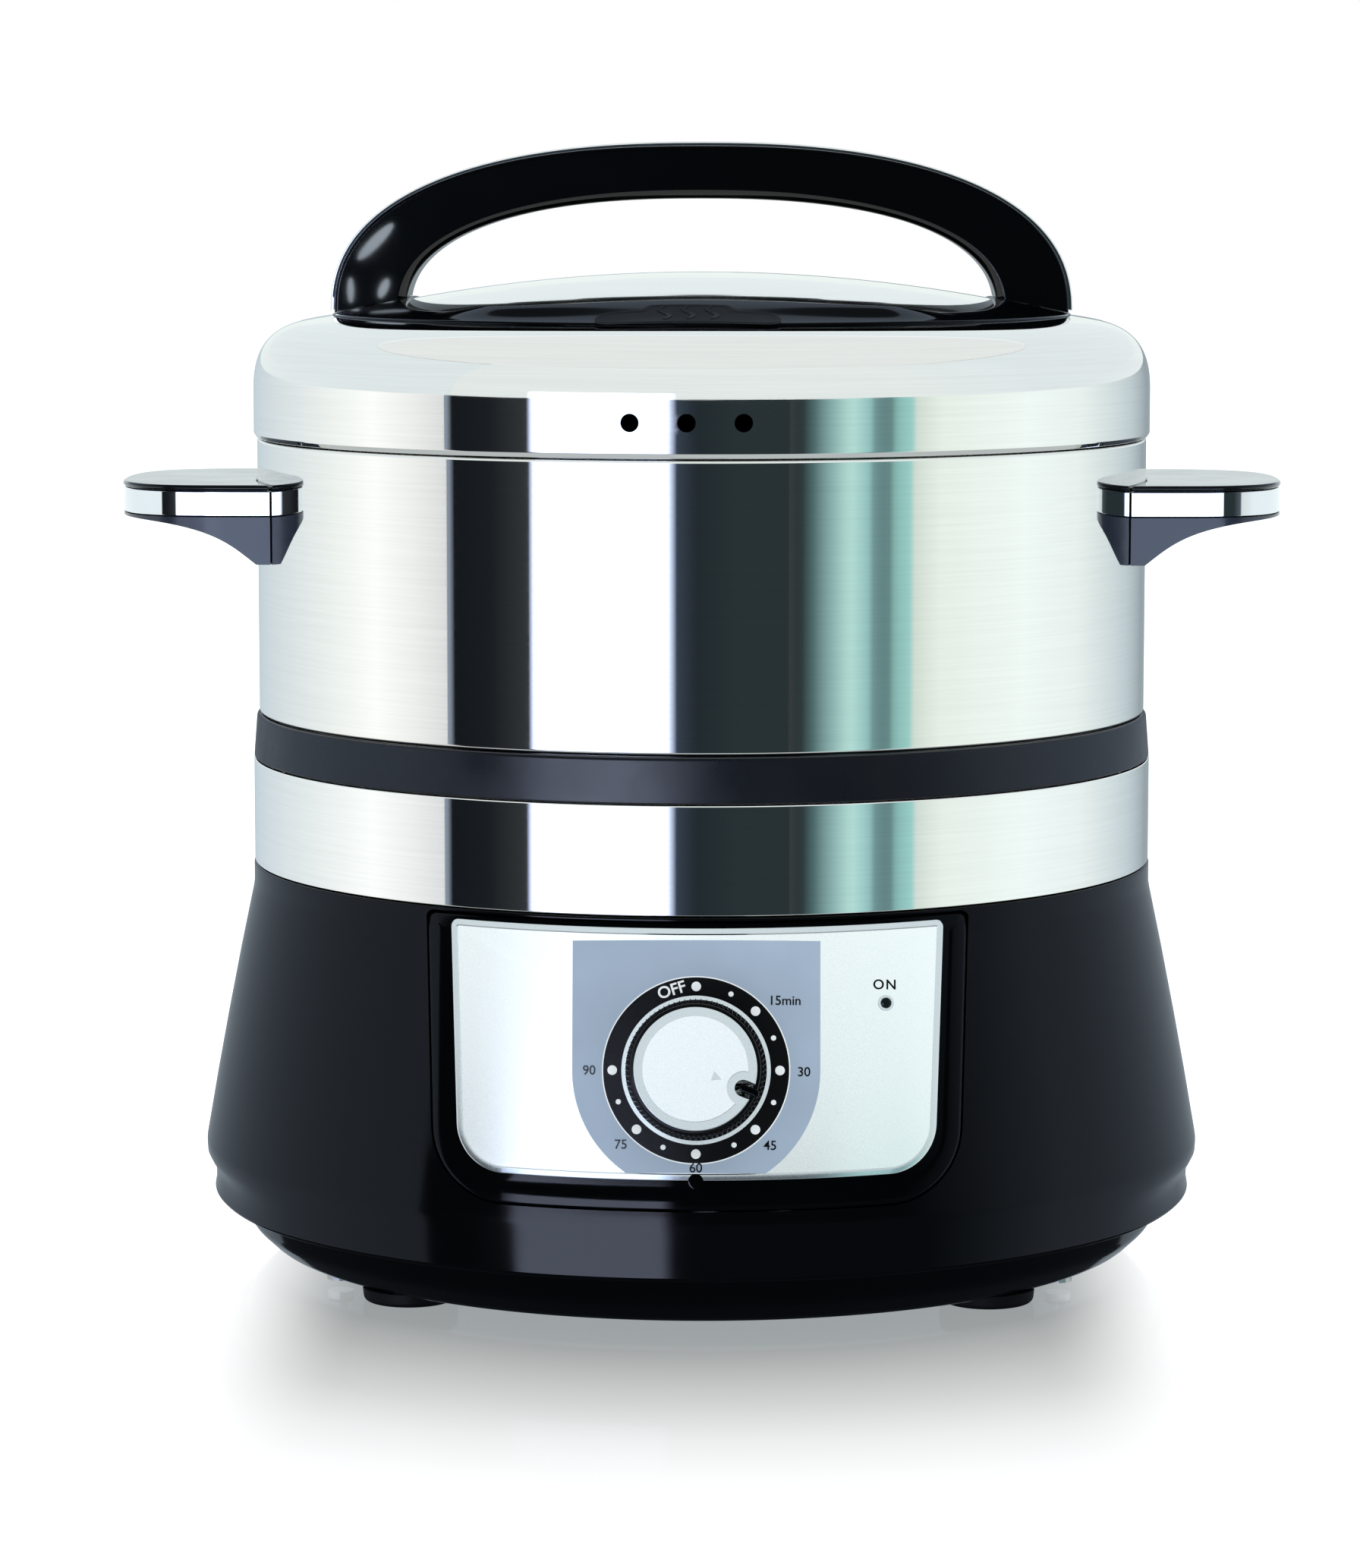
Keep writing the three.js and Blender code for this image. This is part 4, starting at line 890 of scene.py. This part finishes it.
# ---- lid
def lid_line(offset, dome_steps=16, shoulder_steps=28):
    """The lid's profile from the axis out to the top of its upright side."""
    dome = [SHOULDER_R * i / dome_steps for i in range(dome_steps)]
    points = [Vector((r, DOME_Z - r * r / 2 / DOME_RADIUS + offset)) for r in dome]
    start_z = DOME_Z - SHOULDER_R**2 / 2 / DOME_RADIUS + offset
    side = LID_R + offset
    knots = [
        (SHOULDER_R, start_z), (106.5, start_z - 1.9), (side, start_z - 0.8), (side, SHOULDER_END_Z),
    ]
    return points + [bezier(knots, k / shoulder_steps) for k in range(shoulder_steps + 1)]


LID_LINE = lid_line(0.0, 48, 60)


def lid_height(radius):
    """Height of the lid's outer surface at a distance from the axis."""
    if radius <= SHOULDER_R:
        return DOME_Z - radius * radius / 2 / DOME_RADIUS
    for a, b in zip(LID_LINE, LID_LINE[1:]):
        if b.x >= radius > a.x:
            return a.y + (b.y - a.y) * (radius - a.x) / (b.x - a.x)
    return LID_LINE[-1].y


def make_lid():
    edge = LID_EDGE_Z
    outline = [
        *[tuple(p) for p in lid_line(0.0)], (LID_R, edge + 1.2, 0.8), (LID_R - 0.8, edge, 0.5),
        (117.0, edge, 0.4), (117.0, edge - 7.5, 0.4), (116.0, edge - 7.5, 0.4),
        (116.0, edge + 1.0, 0.5), (LID_R - 1.1, edge + 1.4, 0.5),
        *[tuple(p) for p in reversed(lid_line(-1.0, 8, 12))],
    ]
    shell = turned(outline, 384, step=3.0)
    for k in (-1, 0, 1):
        turn = Matrix.Rotation((VENT_OFFSET + k * VENT_PITCH) / LID_R, 4, "Z")
        aim = Matrix.Translation((0, 0, VENT_Z)) @ Matrix.Rotation(pi / 2, 4, "X")
        shell = carve(shell, extruded(circle(2.3, sides=40), 114, 126, turn @ aim))
    piece(shell, "lid", "polished_steel", "lid", ["lid_shell"], sharp=40)


def base_inner(angle):
    """Radius of the opening in the handle's base, at an angle from the front."""
    half_x, half_y, power = OPENING
    terms = (sin(angle) / half_x, cos(angle) / half_y)
    box = sum(abs(t) ** power for t in terms) ** (-1 / power)
    return (box**-24 + OPENING_LIMIT**-24) ** (-1 / 24)


def base_outer(angle):
    """Radius of the base's outer edge: flush with the arch at the sides, wider at front and rear."""
    return 1 / hypot(sin(angle) / ARCH_HALF_SPAN, cos(angle) / (HANDLE_BASE_R + 1.2))


def base_rise(angle, share):
    """How far the handle's base stands over the lid; share runs from its inner edge to its outer."""
    turned_back = angle - LID_TURN
    from_y = degrees(asin(min(1.0, abs(sin(turned_back)))))  # 0 at front and rear
    pad = 1 - smoothstep(32, 46, from_y)
    inner = 0.35 + 1.95 * pad
    outer = 0.25 + 0.1 * pad
    return 0.3 + inner + (outer - inner) * smoothstep(0, 1, share) ** 0.9


def base_top(x, y):
    """Height of the handle base's upper surface."""
    radius = hypot(x, y)
    angle = atan2(x, -y)
    inner = base_inner(angle)
    share = min(max((radius - inner) / (base_outer(angle) - inner), 0), 1)
    return lid_height(radius) + base_rise(angle, share)


def make_handle_base():
    sides = 360
    rows = [(0.0, -1.0), (0.0, 0.45), (0.012, 0.8), (0.035, 0.96), (0.07, 1.0)]
    rows += [(k / 12, 1.0) for k in range(1, 12)]
    rows += [(0.95, 0.97), (0.98, 0.8), (1.0, 0.35), (1.0, -1.0)]
    loops = []
    for share, fullness in rows:
        loop = []
        for i in range(sides):
            a = 2 * pi * i / sides
            radius = base_inner(a) + (base_outer(a) - base_inner(a)) * share
            rise = base_rise(a, share) * fullness if fullness > 0 else 0.05
            loop.append((*polar(radius, a), lid_height(radius) + rise))
        loops.append(loop)
    piece(lofted(loops, closed=True), "handle_seat", "gloss_black", "lid", ["handle_base"], sharp=60)


def arch_point(angle, share):
    """A point of the arch in the XZ plane: share 0 on the inner curve, 1 on the outer."""
    height = ARCH_TOP_Z - ARCH_SPRING_Z
    outer = superellipse(angle, ARCH_HALF_SPAN, height, ARCH_POWER)
    inner = superellipse(angle, ARCH_HALF_SPAN - ARCH_THICK[1], height - ARCH_THICK[0], ARCH_POWER)
    return inner.lerp(outer, share) + Vector((0, ARCH_SPRING_Z))


def along_arch(section_of, clearance):
    """A section of (distance from the inner curve, y) carried along the arch, and cut off over the lid."""
    steps = 120  # closer near the feet, where the curve is tightest in angle
    loops = []
    for k in range(steps + 1):
        angle = pi * (0.5 - 0.5 * cos(pi * k / steps))
        inner, outer = arch_point(angle, 0.0), arch_point(angle, 1.0)
        out = (outer - inner).normalized()
        places = [(inner + out * along, y) for along, y in section_of((outer - inner).length)]
        loops.append([(flat.x, y, flat.y) for flat, y in places])
    lid_top = [(p.x, p.y + clearance) for p in lid_line(0.0, 12, 20) if p.x < 118]
    ground = turned([(0, 230), *reversed(lid_top)], 128)
    return carve(lofted(loops), ground)


def make_arch():
    def arch_section(thick):
        half, chamfer = ARCH_DEPTH / 2, 1.9
        top = thick - STRIP_THICK - 0.05
        front = [(0, -half + chamfer, 1.6), (chamfer, -half, 2.0), (top, -half, 1.0)]
        return rounded([*front, *[(along, -y, radius) for along, y, radius in reversed(front)]])

    def strip_section(thick):
        half, under = STRIP_DEPTH / 2, thick - STRIP_THICK
        return rounded([(under, -half), (under, half), (thick, half, 0.4), (thick, -half, 0.4)])

    arch = along_arch(arch_section, 0.75)
    piece(arch, "arch", "gloss_black", "lid", ["handle_arch"], sharp=38)
    lit_arch.objects.link(arch)
    strip = along_arch(strip_section, 1.5)
    piece(strip, "arch_trim", "bright_trim", "lid", ["handle_strip"], sharp=38)


def on_seat(x, y, height=0.0):
    """A point on the lid handle's base."""
    return Vector((x, y, base_top(x, y) + height))


def make_badge():
    middle = Vector((0, -95.2))
    turn = Matrix.Rotation(LID_TURN, 2)

    def outline(inset):
        """A long oval with a hump for the steam mark."""
        right, front, back, hump = 23.5 - inset, -5.0 + inset, 3.6 - inset, 7.0 - inset
        half = [(right, front, 4), (right, back, 4), (12.5 - inset, back, 1.5), (10.0 - inset, hump, 2)]
        line = rounded([(-x, y, r) for x, y, r in reversed(half)] + half, turn=9.0)
        return evenly([turn @ (p + middle) for p in line])

    edge = [(0.0, 0.25), (0.1, 0.42), (0.35, 0.5), (0.9, 0.5), (1.1, 0.38)]
    made = patch(outline, on_seat, edge, 0.0, 6, turn @ middle)
    piece(made, "badge", "badge_black", "lid", ["steam_badge"])
    for number, x in enumerate((-6.0, 0.0, 6.0)):
        loops = []
        for k in range(25):
            t = k / 24
            y = middle.y - 2.6 + 8.6 * t
            sway = 1.3 * sin(2 * pi * t) - 2.4
            width = 0.3 + 0.5 * sin(pi * t)
            corners = ((-width, 0.3), (width, 0.3), (width, 0.52), (-width, 0.52))
            loops.append([on_seat(x + sway + across, y, height) for across, height in corners])
        piece(lofted(loops), f"steam_mark_{number}", "badge_mark", "lid", sharp=50)


# ---- the CAD nodes that stay
def dress_cad_nodes():
    """Nodes that nothing replaces keep their CAD mesh and get their slot's material."""
    slots = {row["node"]: row["material_slot"] for row in frame["record"]["subparts"]}
    for name, node in frame["nodes"].items():
        node.data.materials.clear()
        node.data.materials.append(MATERIALS[slots[name]])
        if slots[name] in BRIGHT:
            lit.objects.link(node)


# ---- stage
def make_camera():
    camera = bpy.data.objects.new("camera", bpy.data.cameras.new("camera"))
    scene.collection.objects.link(camera)
    camera.data.sensor_width = 36.0
    camera.data.lens = FOCAL
    camera.data.clip_start = 0.05
    camera.data.clip_end = 50.0
    across = CAMERA_DISTANCE * sin(CAMERA_TURN)
    back = CAMERA_DISTANCE * cos(CAMERA_TURN)
    camera.location = Vector((across, -back, CAMERA_HEIGHT)) * MM
    camera.rotation_euler = (pi / 2 - CAMERA_PITCH, 0, CAMERA_AIM + CAMERA_TURN)
    scene.camera = camera


def srgb(red, green, blue):
    """The linear colour of an 8-bit one."""
    return tuple(((v / 255 + 0.055) / 1.055) ** 2.4 for v in (red, green, blue))


def even(color):
    """The same tone all round."""
    return [(-180, color), (180, color)]


def azimuth_colors(tree, direction, stops):
    """Tones round the horizon: (degrees from the camera's side, linear colour) pairs, joined smoothly."""
    split = add_node(tree, "SeparateXYZ", {0: direction})
    forward = add_node(tree, "Math", {0: split.outputs["Y"], 1: -1.0}, operation="MULTIPLY")
    azimuth = add_node(tree, "Math", {0: split.outputs["X"], 1: forward.outputs[0]}, operation="ARCTAN2")
    share = add_range(tree, azimuth.outputs[0], -pi, pi)
    return add_ramp(tree, share, [(turn / 360 + 0.5, color) for turn, color in stops])


def make_floor():
    """A pale glossy floor. Its own soft glow makes it plain white away from the object, and is dimmed near the
    object as a painted shadow.
    """
    floor = turned([(0, -4), (9000, -4), (9000, -0.05), (0, -0.05)], 96)
    floor.name = "floor"
    white = (1.0, 1.0, 1.0)
    look = Look("floor", (0.08, 0.08, 0.08), 0.06, IOR=1.5, Emission_Strength=1.0)
    distance = add_node(look.tree, "VectorMath", {0: look.place}, operation="LENGTH")
    # Painted shadow: the glow is darkest next to the object and brightens to plain white with the distance from
    # the middle.
    painted_shadow_tones = [(0.125, (0.31, 0.33, 0.335))]  # by the distance from the middle, in metres
    for spot, level in ((0.15, 0.43), (0.188, 0.61), (0.225, 0.82), (0.26, 0.95)):
        painted_shadow_tones.append((spot, (level * 0.98, level, level)))
    tone = add_ramp(look.tree, distance.outputs["Value"], [*painted_shadow_tones, (0.29, white)])
    split = add_node(look.tree, "SeparateXYZ", {0: look.place})
    away = add_node(look.tree, "Math", {0: split.outputs["X"]}, operation="ABSOLUTE")
    # The painted shadow keeps to a strip along Y through the middle; to the left and right of the object the glow
    # is plain white.
    clear_of_painted_shadow = add_range(look.tree, away.outputs[0], 0.086, 0.130, interpolation_type="SMOOTHSTEP")
    look.drive("Emission Color", add_mix(look.tree, clear_of_painted_shadow, tone, (*white, 1)))
    look.vary_roughness(look.noise(5), 0.05, 0.07)
    floor.data.materials.append(look.material)
    floor.visible_glossy = False
    lit.objects.link(floor)


def make_card(name, start, end, low, high, stops, receivers=lit, radius=CARD_R):
    """Part of a glowing ring round the stage, between two azimuths and two heights."""
    steps = ceil((end - start) / 6)
    verts = []
    for k in range(steps + 1):
        place = polar(radius, radians(start + (end - start) * k / steps))
        verts += [(*place, low), (*place, high)]
    card = mesh_object(verts, [[2 * k, 2 * k + 2, 2 * k + 3, 2 * k + 1] for k in range(steps)])
    finish_card(card, name, stops, receivers)


def finish_card(card, name, stops, receivers=lit):
    """Makes a sheet a clear glow, which only the reflections in its receivers show."""
    card.name = name
    material = bpy.data.materials.new(name)
    material.use_nodes = True
    tree = material.node_tree
    tree.nodes.clear()
    place = add_node(tree, "TexCoord").outputs["Object"]
    glow = add_node(tree, "Emission", {"Color": azimuth_colors(tree, place, stops)})
    clear = add_node(tree, "BsdfTransparent")
    both = add_node(tree, "AddShader", {0: glow.outputs[0], 1: clear.outputs[0]})
    add_node(tree, "OutputMaterial", {"Surface": both.outputs[0]})
    card.data.materials.append(material)
    card.visible_camera = False
    card.visible_diffuse = False
    card.visible_shadow = False
    card.light_linking.receiver_collection = receivers


def make_world():
    """A dark room with one bright window, which only reflections see. The rest of the light is plain."""
    world = bpy.data.worlds.new("studio")
    scene.world = world
    world.use_nodes = True
    tree = world.node_tree
    tree.nodes.clear()
    direction = add_node(tree, "TexCoord").outputs["Generated"]
    upwards = add_node(tree, "SeparateXYZ", {0: direction}).outputs["Z"]

    window = (1.7, 1.9, 2.6)
    dark = (0.005, 0.007, 0.009)
    side = (0.25, 0.30, 0.37)
    back = (0.30, 0.35, 0.38)
    left = [(-180, back), (-125, side), (CARD_LEFT - 0.3, side)]
    glass = [(-42.0, window), (-7.4, window)]
    right = [(90, side), (125, side), (180, back)]
    low_stops = [
        *left, (CARD_LEFT + 0.3, srgb(22, 25, 29)), (-54, srgb(28, 32, 37)),
        (-42.6, srgb(54, 58, 60)), *glass, (-6.8, srgb(60, 71, 86)), (-0.7, srgb(36, 45, 50)),
        (10, srgb(43, 53, 56)), (54, srgb(43, 53, 56)), *right,
    ]
    middle_stops = [*left, (CARD_LEFT + 0.3, dark), (-42.6, dark), *glass, (-6.8, dark), (48, dark), *right]
    sides = [(90, side), (180, side)]
    high_stops = [(-180, side), (CARD_LEFT - 0.3, side), (CARD_LEFT + 0.3, dark), (48, dark), *sides]

    def above(elevation, low, high):
        """Changes from one colour to another at a height over the horizon, in degrees."""
        start, end = [sin(radians(elevation + shift)) for shift in (-0.3, 0.3)]
        return add_mix(tree, add_range(tree, upwards, start, end), low, high)

    room = above(-24, (0.02, 0.024, 0.03, 1), azimuth_colors(tree, direction, low_stops))
    room = above(2.7, room, azimuth_colors(tree, direction, middle_stops))
    room = above(8.5, room, azimuth_colors(tree, direction, high_stops))
    room = above(41.4, room, (0.03, 0.035, 0.04, 1))
    shown = add_node(tree, "Background", {"Color": room}).outputs[0]
    plain = add_node(tree, "Background", {"Color": (1, 1, 1, 1)}).outputs[0]
    mirrored = add_node(tree, "LightPath").outputs["Is Glossy Ray"]
    pick = add_node(tree, "MixShader", {0: mirrored, 1: plain, 2: shown})
    add_node(tree, "OutputWorld", {"Surface": pick.outputs[0]})
    scene.view_settings.view_transform = "Standard"


def make_cards():
    """White paper round the stage for the metal, and lights of their own for the handles and the panel."""
    white = (0.58, 0.60, 0.55)
    front = (0.86, 0.91, 0.90)
    shoulder = [
        (-180, white), (CARD_LEFT + 1.0, white), (CARD_LEFT + 1.6, front), (48, front), (90, white),
        (180, white),
    ]
    make_card("upper_card", -180, 180, CARD_SPLIT_Z, CARD_TOP, shoulder)
    tints = [
        (-180, (0.16, 0.20, 0.20)), (-155, (0.34, 0.38, 0.39)), (-111, (0.66, 0.66, 0.58)),
        (-89, (0.86, 0.83, 0.74)), (-76, (0.72, 0.68, 0.60)), (-66, (0.56, 0.52, 0.46)),
        (25.0, (0.0, 0.0, 0.0)), (28.0, srgb(70, 98, 98)), (32.0, srgb(132, 170, 168)),
        (37.5, srgb(186, 228, 220)), (42.0, srgb(152, 200, 198)), (43.8, srgb(104, 140, 140)),
        (47.6, srgb(92, 126, 126)), (49.6, srgb(140, 190, 184)), (54.1, srgb(160, 214, 208)),
        (54.7, (0.68, 0.76, 0.68)), (62, (0.82, 0.87, 0.78)), (110, (0.66, 0.69, 0.60)),
        (139, (0.32, 0.36, 0.34)), (158, (0.04, 0.05, 0.04)), (180, (0.04, 0.06, 0.05)),
    ]
    make_card("horizon_card", 22.0, CARD_LEFT + 360, CARD_BOTTOM, CARD_SPLIT_Z, tints)
    ends = (("floor_card", CARD_BOTTOM, (0.50, 0.53, 0.53)), ("ceiling_card", CARD_TOP, (0.84, 0.87, 0.86)))
    for name, height, tone in ends:
        rim = [(*p, height) for p in circle(CARD_R + 4, sides=60)]
        finish_card(sheet(rim), name, even(tone))

    none = (0.0, 0.0, 0.0)
    pale = (0.66, 0.70, 0.67)
    window = (2.0, 2.4, 3.2)
    handle_stops = [
        (-180, pale), (CARD_LEFT - 0.5, pale), (CARD_LEFT, none), (-14.5, none), (-14, window),
        (40, window), (40.5, none), (66, none), (66.5, pale), (180, pale),
    ]
    make_card("handle_card", -180, 180, CARD_BOTTOM, 900, handle_stops, lit_handles, CARD_R + 60)
    glow = even((0.11, 0.12, 0.13))
    make_card("panel_card", -180, 180, CARD_BOTTOM, 2600, glow, lit_panel, CARD_R + 120)
    make_glint("leg_glint", (-87.7, 275.0), (6.7, 1.5), radians(45))
    make_glint("low_glint", (-94.5, 262.0), (0.9, 3.4), 0.0)
    make_glint("foot_glint", (-85.5, 262.5), (1.2, 2.8), radians(-25))


def make_glint(name, place, size, turn):
    """A small soft lamp whose mirror image lies on the flat front of the arch, at a place in X and Z."""
    mirror_y = -ARCH_DEPTH / 2
    lamp_y = -60.0
    eye = Vector((0, 2 * mirror_y + CAMERA_DISTANCE, CAMERA_HEIGHT))
    spin = Matrix.Rotation(turn, 2)
    verts = []
    for point in circle(1.0, sides=32):
        flat = Vector(place) + spin @ Vector((point.x * size[0], point.y * size[1]))
        seen = Vector((flat.x, mirror_y, flat.y))
        verts.append(eye + (seen - eye) * (lamp_y - eye.y) / (mirror_y - eye.y))
    finish_card(sheet(verts), name, even((7.0, 8.0, 9.0)), lit_arch)


make_camera()
make_floor()
make_world()
make_cards()
dress_cad_nodes()
make_base()
make_water_bowl()
make_panel()
make_knob()
make_gland()
make_pot()
make_rack()
make_lid()
make_handle_base()
make_arch()
make_badge()
